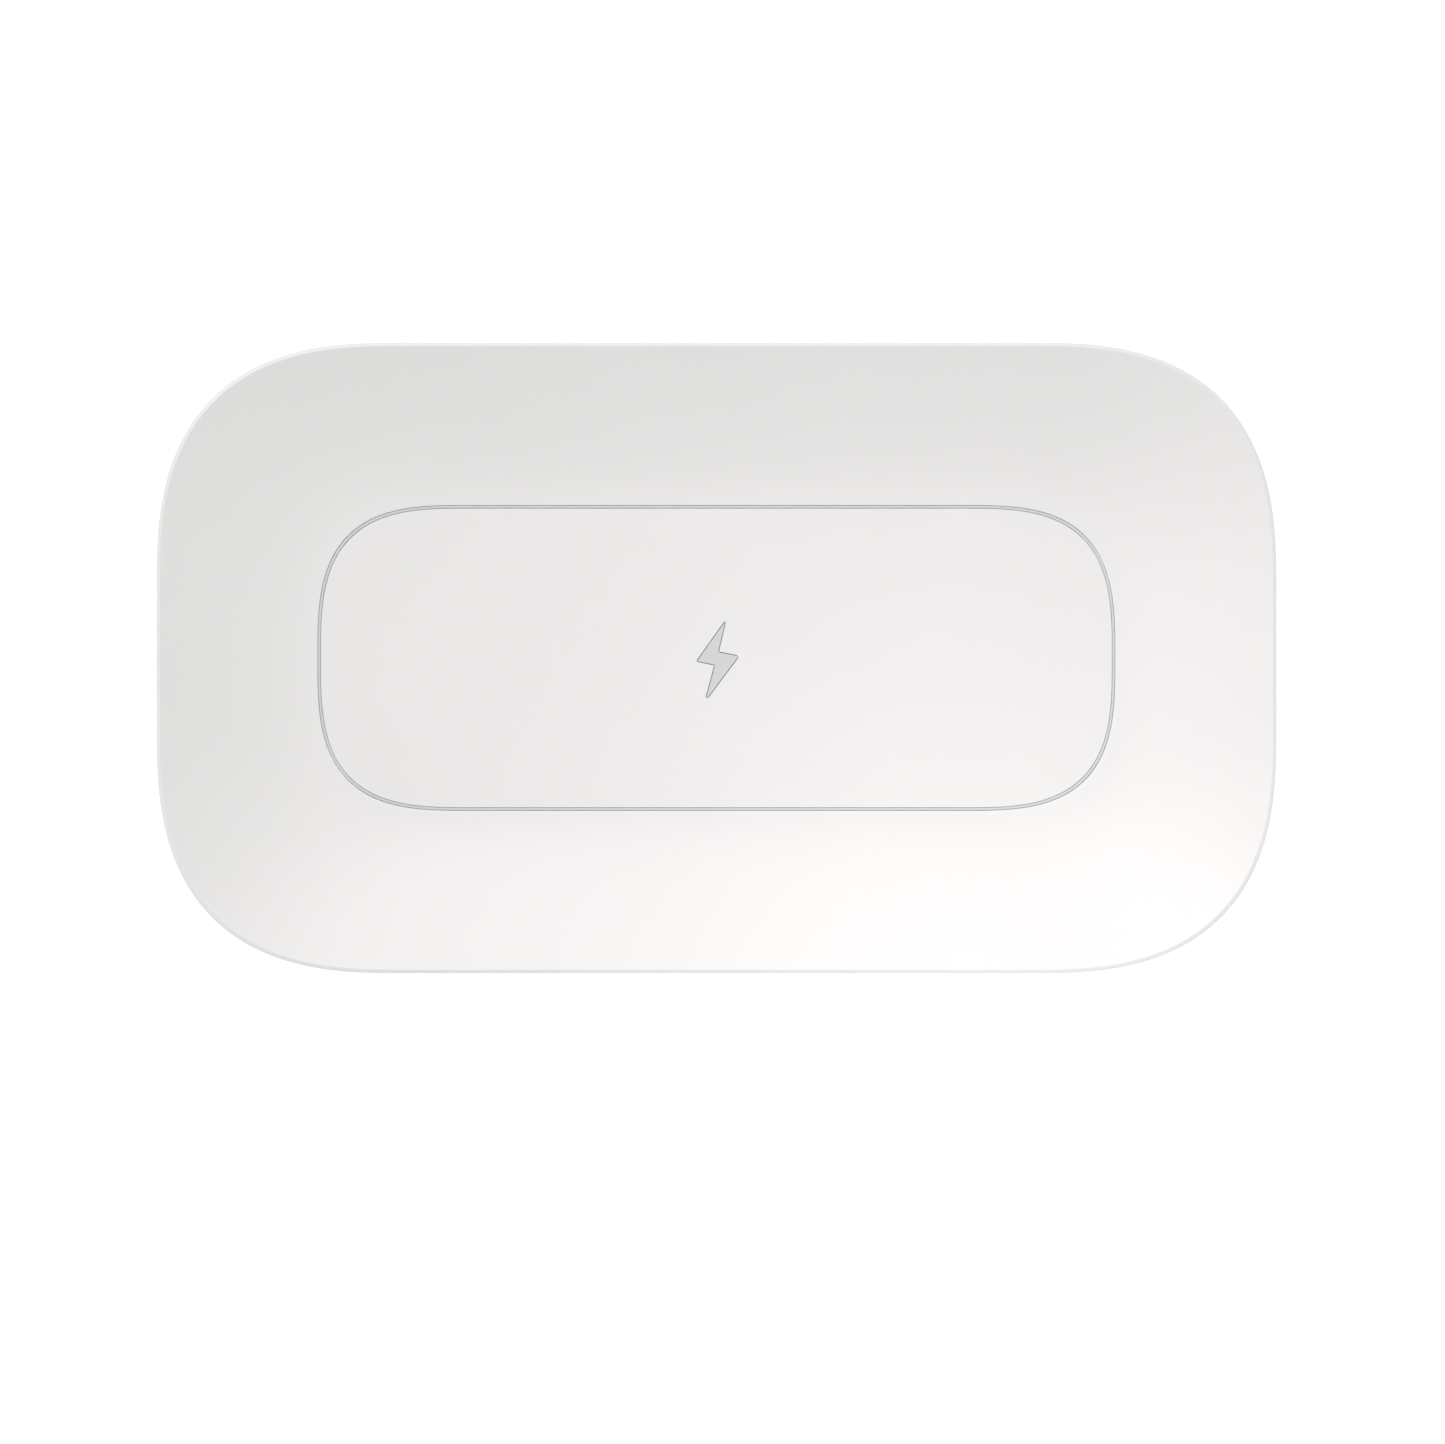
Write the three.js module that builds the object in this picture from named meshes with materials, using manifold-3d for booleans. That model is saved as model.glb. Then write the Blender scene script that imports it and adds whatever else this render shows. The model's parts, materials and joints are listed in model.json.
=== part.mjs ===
// A wide wireless charging pad: a white dished top cover with a grey placement ring and a grey
// charge mark, a white bottom shell on four silicone feet, and the coil stack, boards, ballast and
// screws between them. Millimetres, +X along the long side, +Y to the rear where the power socket
// is, +Z up, origin on the table under the middle of the pad.

import * as THREE from "three";
import { mergeVertices } from "three/addons/utils/BufferGeometryUtils.js";
import Module from "manifold-3d";

const wasm = await Module();
wasm.setup();

// The outline is a rounded rectangle whose corners are superellipses. It changes evenly from the
// rim to the placement ring, and goes on at the same rate inside the ring.
const PAD_LENGTH = 228;
const PAD_WIDTH = 128.4;
const PAD_CORNER = 49.3;
const PAD_CORNER_POWER = 2.66;
const RING_LENGTH = 162.2;
const RING_WIDTH = 61.7;
const RING_CORNER_POWER = 3.12;
const RING_INSET = (PAD_WIDTH - RING_WIDTH) / 2;
const POINTS_PER_CORNER = 10;

// Heights above the table.
const FOOT_HEIGHT = 1.5;
const BASE_Z = 1;
const SEAM_Z = 4.5;
const SEAM_GAP = 0.4;
const FLOOR_Z = 11;
const WIDEST_Z = 15;
const RIM_Z = 16;
const WALL = 2;
const CEILING_Z = FLOOR_Z - WALL;
const INNER_BASE_Z = BASE_Z + WALL;

// The side is a quarter ellipse that reaches this far in at the base.
const SIDE_DEPTH = 13;
const RIM_LAND = 0.75;
const RIM_FILLET = 0.3;

// The dish gets steeper quickly outside the ring and slowly from there to the rim.
const DISH_BEND = 9;
const DISH_RUN = RING_INSET - RIM_LAND;

// Inlays in the top cover.
const INLAY_DEPTH = 0.7;
const INLAY_GAP = 0.15;
const INLAY_SUNK = 0.05;
const RING_LINE = 1;
const BOLT_TIP = [1.8, 7.7];
const BOLT_NOTCH = [0.4, 1.35];
const BOLT_WING = [4.1, 0.5];
const BOLT_CENTRE = [0.15, -0.1];

// The tongue of the bottom shell stands inside the wall of the top cover.
const TONGUE_INSET = 7.7;
const TONGUE_WALL = 1;
const TONGUE_Z = 5.9;

// Screws and posts.
const CASE_SCREW_PLACES = {
  front_left: [-91, -24],
  front_right: [91, -24],
  rear_left: [-91, 24],
  rear_right: [91, 24],
  middle_left: [-46, 0],
  middle_right: [46, 0],
};
const CASE_HEAD_R = 2.4;
const CASE_HEAD_H = 1.5;
const CASE_HEAD_Z = 1.6;
const CASE_SHANK_R = 1.2;
const CASE_SHANK_TOP = 8.4;
const CASE_POST_R = 4;
const CASE_BOSS_R = 3.2;
const POST_SPLIT_Z = 5.5;
const POST_SPLIT_GAP = 0.2;
const SCREW_CLEARANCE = 0.15;
const DRIVE_R = 1;
const DRIVE_DEPTH = 0.8;

const FOOT_PLACES = {
  front_left: [-78, -34],
  front_right: [78, -34],
  rear_left: [-78, 34],
  rear_right: [78, 34],
};
const FOOT_R = 8;
const FOOT_FLAT_R = 7.4;
const FOOT_POCKET_R = 8.2;

// Main board and what stands on it.
const BOARD_Z = 6.4;
const BOARD_THICK = 1.2;
const BOARD_TOP = BOARD_Z + BOARD_THICK;
const BOARD_LENGTH = 60;
const BOARD_FRONT = 31.5;
const BOARD_REAR = 57.5;
const BOARD_SCREW_PLACES = {
  front_left: [-26.5, 35],
  front_right: [26.5, 35],
  rear_left: [-26.5, 53.5],
  rear_right: [26.5, 53.5],
};
const BOARD_SHANK_R = 1;
const BOARD_HEAD_R = 1.9;
const BOARD_HEAD_H = 1;
const BOARD_SHANK_BOTTOM = 4;
const BOARD_POST_R = 2.6;

// Power socket in its pocket in the rear wall.
const SOCKET_LENGTH = 7.4;
const SOCKET_WIDTH = 8.94;
const SOCKET_HEIGHT = 3.2;
const SOCKET_WALL = 0.3;
const SOCKET_GAP = 0.3;
const SOCKET_Z = BOARD_TOP + SOCKET_HEIGHT / 2;
const SOCKET_MOUTH_Y = 59.2;
const POCKET_WIDTH = 13.2;
const POCKET_HEIGHT = 6.8;
const POCKET_FLOOR_Y = 59.4;
const POCKET_BACK_WALL = 1.2;
const POCKET_SIDE_WALL = 1.8;

// Coil stack, from the foam on the base up to the tape under the cover.
const FOAM_Z = [3, 3.9];
const SPREADER_Z = [4, 4.8];
const CARRIER_Z = [5, 5.8];
const CARRIER_WALL_TOP = 8.2;
const CARRIER_SIZE = 58;
const CARRIER_WALL = 1.6;
const CARRIER_EAR_X = 33;
const FERRITE_Z = [5.9, 7.4];
const FERRITE_SIZE = 53;
const COIL_Z = [7.5, 8.6];
const COIL_OUTER_R = 24.5;
const COIL_INNER_R = 10.5;
const TAPE_Z = [8.7, 8.9];
const LEAD_R = 0.55;
const LEAD_X = 3.2;
const PEG_R = 1.4;

// Ballast plates.
const BALLAST_X = 69;
const BALLAST_LENGTH = 30;
const BALLAST_WIDTH = 64;
const BALLAST_Z = [3.1, 5.1];
const BALLAST_PEGS = [[6, 22], [-7, -23]];

// Status light in the front wall.
const LIGHT_BOARD_Z = [6.4, 7.4];
const LIGHT_BOARD_Y = [-57, -49];
const LIGHT_BOARD_LENGTH = 20;
const LIGHT_PIPE_WIDTH = 7;
const LIGHT_PIPE_HEIGHT = 1.6;
const LIGHT_PIPE_Z = 8.5;
const LIGHT_PEG_X = 7.5;
const LIGHT_PEG_Y = -51;
const LIGHT_CABLE_X = 36;

const COLOURS = {
  white_plastic: [0xf1efec, 0.42, 0],
  grey_inlay: [0xcfcfce, 0.55, 0],
  silicone: [0xd9d8d5, 0.85, 0],
  screw_steel: [0x8f9194, 0.35, 1],
  plated_shell: [0xc4c6c8, 0.25, 1],
  tongue_plastic: [0x1c1c1e, 0.5, 0],
  board: [0x1f4f38, 0.5, 0],
  chip: [0x1d1d1f, 0.45, 0],
  inductor: [0x3a3a3c, 0.6, 0],
  capacitor: [0xa98a63, 0.4, 0],
  crystal_can: [0xb9babc, 0.3, 1],
  copper_litz: [0xb06a3a, 0.45, 1],
  ferrite: [0x2b2b2d, 0.8, 0],
  carrier_plastic: [0x2a2a2c, 0.6, 0],
  tape: [0xd8c27a, 0.5, 0],
  thermistor_bead: [0x39404a, 0.4, 0],
  aluminium: [0xb8babd, 0.35, 1],
  foam: [0x4a4a4c, 0.95, 0],
  ballast_steel: [0x8a8c8f, 0.4, 1],
  led: [0xf3efd8, 0.3, 0],
  light_pipe: [0xf4f6f7, 0.1, 0],
  ribbon: [0xe3e3e0, 0.5, 0],
  cable_socket: [0xefe9dc, 0.5, 0],
};

function material(slot) {
  const [color, roughness, metalness] = COLOURS[slot];
  return new THREE.MeshStandardMaterial({ name: slot, color, roughness, metalness });
}

// A closed geometry as a solid that can be joined and cut.
function solid(geometry) {
  const bare = geometry.clone();
  bare.deleteAttribute("normal");
  bare.deleteAttribute("uv");
  const merged = mergeVertices(bare, 1e-4);
  return new wasm.Manifold(new wasm.Mesh({
    numProp: 3,
    vertProperties: new Float32Array(merged.attributes.position.array),
    triVerts: new Uint32Array(merged.index.array),
  }));
}

const pad = new THREE.Group();

function addPiece(name, slot, piece) {
  const { vertProperties, triVerts } = piece.getMesh();
  const geometry = new THREE.BufferGeometry();
  geometry.setAttribute("position", new THREE.BufferAttribute(new Float32Array(vertProperties), 3));
  geometry.setIndex(new THREE.BufferAttribute(new Uint32Array(triVerts), 1));
  geometry.computeVertexNormals();
  const mesh = new THREE.Mesh(geometry, material(slot));
  mesh.name = name;
  pad.add(mesh);
}

// The point of the outline that lies a given inset inside the rim, for step 0 to 4 times
// POINTS_PER_CORNER counted anticlockwise from the middle of the right side.
function outlinePoint(inset, step) {
  const share = inset / RING_INSET;
  const blend = THREE.MathUtils.clamp(share, 0, 1);
  const halfX = (PAD_LENGTH - share * (PAD_LENGTH - RING_LENGTH)) / 2;
  const halfY = Math.max(PAD_WIDTH / 2 - inset, 0);
  const corner = Math.min(THREE.MathUtils.lerp(PAD_CORNER, RING_WIDTH / 2, blend), halfY);
  const power = 2 / THREE.MathUtils.lerp(PAD_CORNER_POWER, RING_CORNER_POWER, blend);
  const quarter = Math.floor(step / POINTS_PER_CORNER) % 4;
  const along = (step % POINTS_PER_CORNER) / (POINTS_PER_CORNER - 1);
  const angle = (quarter % 2 === 0 ? along : 1 - along) * Math.PI / 2;
  const x = halfX - corner + corner * Math.max(Math.cos(angle), 0) ** power;
  const y = halfY - corner + corner * Math.max(Math.sin(angle), 0) ** power;
  return [quarter === 0 || quarter === 3 ? x : -x, quarter < 2 ? y : -y];
}

// A solid whose sections are outlines: the profile is a list of [inset, z] that either starts and
// ends at the middle of the pad or closes on itself. It is turned as a lathe shape whose radius is
// the distance to the middle line, and each vertex is then moved out to its outline.
function outlineSolid(profile) {
  const radii = profile.map(([inset, z]) => new THREE.Vector2(PAD_WIDTH / 2 - inset, z));
  const geometry = new THREE.LatheGeometry(radii, 4 * POINTS_PER_CORNER);
  const position = geometry.attributes.position;
  for (let vertex = 0; vertex < position.count; vertex += 1) {
    const step = Math.floor(vertex / profile.length) % (4 * POINTS_PER_CORNER);
    const [inset, z] = profile[vertex % profile.length];
    const [x, y] = outlinePoint(inset, step);
    position.setXYZ(vertex, x, y, z);
  }
  return solid(geometry);
}

const MIDDLE = PAD_WIDTH / 2;

function cylinder(radius, bottom, top, x = 0, y = 0, sides = 12) {
  const geometry = new THREE.CylinderGeometry(radius, radius, top - bottom, sides);
  geometry.rotateX(Math.PI / 2);
  geometry.translate(x, y, (bottom + top) / 2);
  return solid(geometry);
}

function box(x, y, z) {
  const geometry = new THREE.BoxGeometry(x[1] - x[0], y[1] - y[0], z[1] - z[0]);
  geometry.translate((x[0] + x[1]) / 2, (y[0] + y[1]) / 2, (z[0] + z[1]) / 2);
  return solid(geometry);
}

function centredBox(length, width, z, x = 0, y = 0) {
  return box([x - length / 2, x + length / 2], [y - width / 2, y + width / 2], z);
}

function roundedShape(length, width, radius) {
  const shape = new THREE.Shape();
  const x = length / 2;
  const y = width / 2;
  shape.moveTo(radius - x, -y);
  shape.lineTo(x - radius, -y);
  shape.absarc(x - radius, radius - y, radius, -Math.PI / 2, 0);
  shape.lineTo(x, y - radius);
  shape.absarc(x - radius, y - radius, radius, 0, Math.PI / 2);
  shape.lineTo(radius - x, y);
  shape.absarc(radius - x, y - radius, radius, Math.PI / 2, Math.PI);
  shape.lineTo(-x, radius - y);
  shape.absarc(radius - x, radius - y, radius, Math.PI, 1.5 * Math.PI);
  return shape;
}

// A plate with rounded corners, standing on z[0] and reaching z[1].
function plate(length, width, radius, z, x = 0, y = 0) {
  const geometry = new THREE.ExtrudeGeometry(roundedShape(length, width, radius), {
    depth: z[1] - z[0],
    bevelEnabled: false,
    curveSegments: 3,
  });
  geometry.translate(x, y, z[0]);
  return solid(geometry);
}

// A bar along Y with a flat oval section, from y[0] to y[1].
function ovalBar(width, height, y, z) {
  const geometry = new THREE.ExtrudeGeometry(roundedShape(width, height, height / 2 - 0.01), {
    depth: y[1] - y[0],
    bevelEnabled: false,
    curveSegments: 4,
  });
  geometry.rotateX(Math.PI / 2);
  geometry.translate(0, y[1], z);
  return solid(geometry);
}

// How far the side wall stands inside the rim at a height, on its outer face or a wall deeper.
function sideInset(z, wall = 0) {
  const drop = (WIDEST_Z - z) / (WIDEST_Z - BASE_Z - wall);
  return wall + (SIDE_DEPTH - wall) * (1 - Math.sqrt(Math.max(1 - drop * drop, 0)));
}

function dishRise(outward) {
  const bend = DISH_BEND * Math.log(Math.cosh(outward / DISH_BEND));
  return (bend + outward * outward / (2 * DISH_RUN)) / 2;
}

// Height of the dish at an inset. Its slope grows as the mean of tanh and a straight line.
function dishZ(inset) {
  const outward = Math.max(RING_INSET - inset, 0);
  return FLOOR_Z + (RIM_Z - FLOOR_Z) * dishRise(outward) / dishRise(DISH_RUN);
}

function steps(from, to, count) {
  return Array.from({ length: count + 1 }, (_, i) => THREE.MathUtils.lerp(from, to, i / count));
}

const COVER_BOTTOM = SEAM_Z + SEAM_GAP / 2;
const SHELL_TOP = SEAM_Z - SEAM_GAP / 2;

// The outer face of the top cover from its lower edge over the rim to the middle of the dish.
function coverFace() {
  const side = steps(COVER_BOTTOM, WIDEST_Z, 5).map((z) => [sideInset(z), z]);
  const fillet = steps(0, Math.PI / 2, 2).map((angle) => [
    RIM_FILLET * (1 - Math.cos(angle)),
    RIM_Z - RIM_FILLET * (1 - Math.sin(angle)),
  ]);
  const dish = steps(RIM_LAND, RING_INSET, 7).map((inset) => [inset, dishZ(inset)]);
  return [...side, ...fillet, ...dish, [MIDDLE, FLOOR_Z]];
}

function coverBlank() {
  return outlineSolid([[MIDDLE, COVER_BOTTOM], ...coverFace()]);
}

function coverShell() {
  const wallTop = 13.6;
  const ceiling = steps(RING_INSET, sideInset(wallTop, WALL), 4).map((inset) => [inset, dishZ(inset) - WALL]);
  const wall = steps(wallTop - 0.6, COVER_BOTTOM, 3).map((z) => [sideInset(z, WALL), z]);
  return outlineSolid([[MIDDLE, CEILING_Z], ...ceiling, ...wall, ...coverFace()]);
}

// The lightning bolt is the same after half a turn, so three of its corners give the other three.
function boltCorners(shrink) {
  const half = [BOLT_TIP, BOLT_NOTCH, BOLT_WING].map(([x, y]) => new THREE.Vector2(x, y));
  const corners = [
    half[0],
    half[2].clone().negate(),
    half[1].clone().negate(),
    half[0].clone().negate(),
    half[2],
    half[1],
  ];
  return corners.map((corner, i) => {
    const before = corner.clone().sub(corners.at(i - 1)).normalize();
    const after = corners[(i + 1) % corners.length].clone().sub(corner).normalize();
    const inward = new THREE.Vector2(-before.y - after.y, before.x + after.x).normalize();
    const reach = shrink / inward.dot(new THREE.Vector2(-before.y, before.x));
    return corner.clone().addScaledVector(inward, reach);
  });
}

function boltSolid(shrink, bottom, top) {
  const shape = new THREE.Shape(boltCorners(shrink));
  const geometry = new THREE.ExtrudeGeometry(shape, { depth: top - bottom, bevelEnabled: false });
  geometry.translate(BOLT_CENTRE[0], BOLT_CENTRE[1], bottom);
  return solid(geometry);
}

function ringSolid(width, bottom, top) {
  const outer = RING_INSET - width / 2;
  const inner = RING_INSET + width / 2;
  return outlineSolid([[inner, bottom], [outer, bottom], [outer, top], [inner, top], [inner, bottom]]);
}

function makeTopCover() {
  const above = FLOOR_Z + 1;
  const blank = coverBlank();
  const pocketSides = POCKET_WIDTH / 2 + POCKET_SIDE_WALL;
  const pocketBack = POCKET_FLOOR_Y - POCKET_BACK_WALL;
  const block = box([-pocketSides, pocketSides], [pocketBack, MIDDLE], [COVER_BOTTOM, 14]);
  let cover = coverShell().add(blank.intersect(block));
  for (const [x, y] of Object.values(CASE_SCREW_PLACES)) {
    const boss = cylinder(CASE_BOSS_R, POST_SPLIT_Z + POST_SPLIT_GAP / 2, CEILING_Z + 2, x, y);
    cover = cover.add(boss.intersect(blank));
  }
  for (const [x, y] of Object.values(CASE_SCREW_PLACES)) {
    const hole = cylinder(CASE_SHANK_R + SCREW_CLEARANCE, POST_SPLIT_Z, CASE_SHANK_TOP + 0.3, x, y, 8);
    cover = cover.subtract(hole);
  }
  const groove = ringSolid(RING_LINE, FLOOR_Z - INLAY_DEPTH, above);
  const bolt = boltSolid(0, FLOOR_Z - INLAY_DEPTH, above);
  const pocket = ovalBar(POCKET_WIDTH, POCKET_HEIGHT, [POCKET_FLOOR_Y, MIDDLE + 1], SOCKET_Z);
  const mouth = ovalBar(
    SOCKET_WIDTH + 2 * SOCKET_GAP,
    SOCKET_HEIGHT + 2 * SOCKET_GAP,
    [pocketBack - 1, POCKET_FLOOR_Y + 1],
    SOCKET_Z,
  );
  const window = ovalBar(
    LIGHT_PIPE_WIDTH + 2 * INLAY_GAP,
    LIGHT_PIPE_HEIGHT + 2 * INLAY_GAP,
    [-MIDDLE - 1, 5 - MIDDLE],
    LIGHT_PIPE_Z,
  );
  addPiece("top_cover", "white_plastic", cover.subtract(groove).subtract(bolt).subtract(pocket)
    .subtract(mouth).subtract(window));
}

function makeInlays() {
  const bottom = FLOOR_Z - INLAY_DEPTH + INLAY_GAP;
  const top = FLOOR_Z - INLAY_SUNK;
  addPiece("placement_ring", "grey_inlay", ringSolid(RING_LINE - 2 * INLAY_GAP, bottom, top));
  addPiece("charge_mark", "grey_inlay", boltSolid(INLAY_GAP, bottom, top));
}

// Posts that stand on the base, each as [x, y, radius, top].
function basePosts() {
  const posts = [];
  for (const [x, y] of Object.values(CASE_SCREW_PLACES)) {
    posts.push([x, y, CASE_POST_R, POST_SPLIT_Z - POST_SPLIT_GAP / 2]);
  }
  for (const [x, y] of Object.values(BOARD_SCREW_PLACES)) {
    posts.push([x, y, BOARD_POST_R, BOARD_Z]);
  }
  for (const side of [-1, 1]) {
    posts.push([side * CARRIER_EAR_X, 0, PEG_R, CARRIER_Z[1] + 1]);
    for (const [x, y] of BALLAST_PEGS) {
      posts.push([side * BALLAST_X + x, y, PEG_R, BALLAST_Z[1] + 0.6]);
    }
    posts.push([side * LIGHT_PEG_X, LIGHT_PEG_Y, 2 * LIGHT_PEG_HOLE, LIGHT_BOARD_Z[0]]);
    posts.push([side * LIGHT_PEG_X, LIGHT_PEG_Y, LIGHT_PEG_HOLE - 0.2, LIGHT_BOARD_Z[1] + 0.5]);
  }
  return posts;
}

const LIGHT_PEG_HOLE = 1;

function makeBottomShell() {
  const side = steps(0, 1, 4).map((share) => {
    const z = BASE_Z + (SHELL_TOP - BASE_Z) * share * share;
    return [sideInset(z), z];
  });
  const tongueFoot = 4;
  const inner = steps(1, 0, 2).map((share) => {
    const z = INNER_BASE_Z + (tongueFoot - 0.1 - INNER_BASE_Z) * share * share;
    return [sideInset(z, WALL), z];
  });
  let shell = outlineSolid([
    [MIDDLE, BASE_Z],
    ...side,
    [TONGUE_INSET, SHELL_TOP],
    [TONGUE_INSET, TONGUE_Z],
    [TONGUE_INSET + TONGUE_WALL, TONGUE_Z],
    [TONGUE_INSET + TONGUE_WALL, tongueFoot],
    ...inner,
    [MIDDLE, INNER_BASE_Z],
  ]);
  for (const [x, y, radius, top] of basePosts()) {
    shell = shell.add(cylinder(radius, BASE_Z + 1, top, x, y));
  }
  for (const [x, y] of Object.values(CASE_SCREW_PLACES)) {
    shell = shell.subtract(cylinder(CASE_SHANK_R + SCREW_CLEARANCE, 0, POST_SPLIT_Z + 1, x, y, 8));
    const seat = CASE_HEAD_Z + CASE_HEAD_H;
    shell = shell.subtract(cylinder(CASE_HEAD_R + 2 * SCREW_CLEARANCE, 0, seat, x, y));
  }
  for (const [x, y] of Object.values(BOARD_SCREW_PLACES)) {
    const hole = cylinder(BOARD_SHANK_R + SCREW_CLEARANCE, BOARD_SHANK_BOTTOM - 0.4, BOARD_Z + 1, x, y, 8);
    shell = shell.subtract(hole);
  }
  for (const [x, y] of Object.values(FOOT_PLACES)) {
    shell = shell.subtract(cylinder(FOOT_POCKET_R, 0, FOOT_HEIGHT, x, y, 20));
  }
  addPiece("bottom_shell", "white_plastic", shell);
}

function makeFeet() {
  const chamfer = FOOT_R - FOOT_FLAT_R;
  for (const [place, [x, y]] of Object.entries(FOOT_PLACES)) {
    const profile = [[0, 0], [FOOT_FLAT_R, 0], [FOOT_R, chamfer], [FOOT_R, FOOT_HEIGHT], [0, FOOT_HEIGHT]];
    const geometry = new THREE.LatheGeometry(profile.map(([r, z]) => new THREE.Vector2(r, z)), 20);
    geometry.rotateX(Math.PI / 2);
    geometry.translate(x, y, 0);
    addPiece(`foot_${place}`, "silicone", solid(geometry));
  }
}

// A screw with its shank up (direction 1) or down (-1) from the underside of its head at seat.
function screw(x, y, seat, direction, headR, headH, shankR, shankEnd) {
  const headEnd = seat - direction * headH;
  const head = cylinder(headR, Math.min(seat, headEnd), Math.max(seat, headEnd), x, y);
  const shank = cylinder(shankR, Math.min(seat, shankEnd), Math.max(seat, shankEnd), x, y, 8);
  const drive = [headEnd, headEnd + direction * DRIVE_DEPTH];
  const recess = cylinder(DRIVE_R, Math.min(...drive) - 0.001, Math.max(...drive) + 0.001, x, y, 6);
  return head.add(shank).subtract(recess);
}

function makeScrews() {
  for (const [place, [x, y]] of Object.entries(CASE_SCREW_PLACES)) {
    const seat = CASE_HEAD_Z + CASE_HEAD_H;
    const piece = screw(x, y, seat, 1, CASE_HEAD_R, CASE_HEAD_H, CASE_SHANK_R, CASE_SHANK_TOP);
    addPiece(`case_screw_${place}`, "screw_steel", piece);
  }
  for (const [place, [x, y]] of Object.entries(BOARD_SCREW_PLACES)) {
    const piece = screw(x, y, BOARD_TOP, -1, BOARD_HEAD_R, BOARD_HEAD_H, BOARD_SHANK_R, BOARD_SHANK_BOTTOM);
    addPiece(`board_screw_${place}`, "screw_steel", piece);
  }
}

function makeMainBoard() {
  const middle = (BOARD_FRONT + BOARD_REAR) / 2;
  let board = plate(BOARD_LENGTH, BOARD_REAR - BOARD_FRONT, 2, [BOARD_Z, BOARD_TOP], 0, middle);
  for (const [x, y] of Object.values(BOARD_SCREW_PLACES)) {
    board = board.subtract(cylinder(BOARD_SHANK_R + SCREW_CLEARANCE, BOARD_Z - 1, BOARD_TOP + 1, x, y, 8));
  }
  addPiece("main_board", "board", board);
}

function makeSocket() {
  const back = SOCKET_MOUTH_Y - SOCKET_LENGTH;
  const outer = ovalBar(SOCKET_WIDTH, SOCKET_HEIGHT, [back, SOCKET_MOUTH_Y], SOCKET_Z);
  const hollow = ovalBar(
    SOCKET_WIDTH - 2 * SOCKET_WALL,
    SOCKET_HEIGHT - 2 * SOCKET_WALL,
    [back + 1, SOCKET_MOUTH_Y + 1],
    SOCKET_Z,
  );
  addPiece("socket_shell", "plated_shell", outer.subtract(hollow));
  const tongue = centredBox(6.7, 5.4, [SOCKET_Z - 0.35, SOCKET_Z + 0.35], 0, back + 1.1 + 2.7);
  addPiece("socket_tongue", "tongue_plastic", tongue);
}

// Parts soldered to the main board: name, slot, x, y, length, width, height.
const BOARD_PARTS = [
  ["control_chip", "chip", -9, 40, 7, 7, 0.9],
  ["bridge_chip_left", "chip", 6, 37.5, 5, 6, 1],
  ["bridge_chip_right", "chip", 13.5, 37.5, 5, 6, 1],
  ["crystal", "crystal_can", -17.5, 39, 3.2, 2.5, 0.8],
  ["power_inductor", "inductor", 17, 49, 7, 7, 2.6],
  ["tuning_capacitor_1", "capacitor", 4.5, 44.5, 3.2, 1.6, 1.2],
  ["tuning_capacitor_2", "capacitor", 4.5, 46.8, 3.2, 1.6, 1.2],
  ["tuning_capacitor_3", "capacitor", 8.7, 44.5, 3.2, 1.6, 1.2],
  ["tuning_capacitor_4", "capacitor", 8.7, 46.8, 3.2, 1.6, 1.2],
  ["input_capacitor_left", "capacitor", -9.5, 49, 3.2, 2.5, 1.6],
  ["input_capacitor_right", "capacitor", -9.5, 53, 3.2, 2.5, 1.6],
  ["main_cable_socket", "cable_socket", 24, 42.5, 4, 6, 1.6],
];

function makeBoardParts() {
  for (const [name, slot, x, y, length, width, height] of BOARD_PARTS) {
    addPiece(name, slot, centredBox(length, width, [BOARD_TOP, BOARD_TOP + height], x, y));
  }
}

function makeCoilStack() {
  addPiece("foam_pad", "foam", plate(40, 40, 3, FOAM_Z));
  addPiece("heat_spreader", "aluminium", plate(58, 56, 2, SPREADER_Z));
  const tray = plate(CARRIER_SIZE, CARRIER_SIZE, 4, [CARRIER_Z[0], CARRIER_WALL_TOP]);
  const inside = CARRIER_SIZE - 2 * CARRIER_WALL;
  const hollow = plate(inside, inside, 3, [CARRIER_Z[1], CARRIER_WALL_TOP + 1]);
  const exit = centredBox(12, 8, [FERRITE_Z[1], CARRIER_WALL_TOP + 1], 0, CARRIER_SIZE / 2);
  let carrier = tray.subtract(hollow).subtract(exit);
  for (const side of [-1, 1]) {
    const x = side * CARRIER_EAR_X;
    carrier = carrier.add(plate(12, 8, 3, CARRIER_Z, x - side * 2.5, 0));
    carrier = carrier.subtract(cylinder(PEG_R + 0.2, CARRIER_Z[0] - 1, CARRIER_Z[1] + 1, x, 0));
  }
  addPiece("coil_carrier", "carrier_plastic", carrier);
  addPiece("ferrite_plate", "ferrite", plate(FERRITE_SIZE, FERRITE_SIZE, 3, FERRITE_Z));
  const winding = cylinder(COIL_OUTER_R, ...COIL_Z, 0, 0, 32);
  const eye = cylinder(COIL_INNER_R, COIL_Z[0] - 1, COIL_Z[1] + 1, 0, 0, 20);
  addPiece("coil_winding", "copper_litz", winding.subtract(eye));
  addPiece("coil_tape", "tape", cylinder(COIL_OUTER_R + 0.5, ...TAPE_Z, 0, 0, 28));
  addPiece("thermistor", "thermistor_bead", cylinder(1.2, COIL_Z[0], COIL_Z[1] - 0.2));
}

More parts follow.
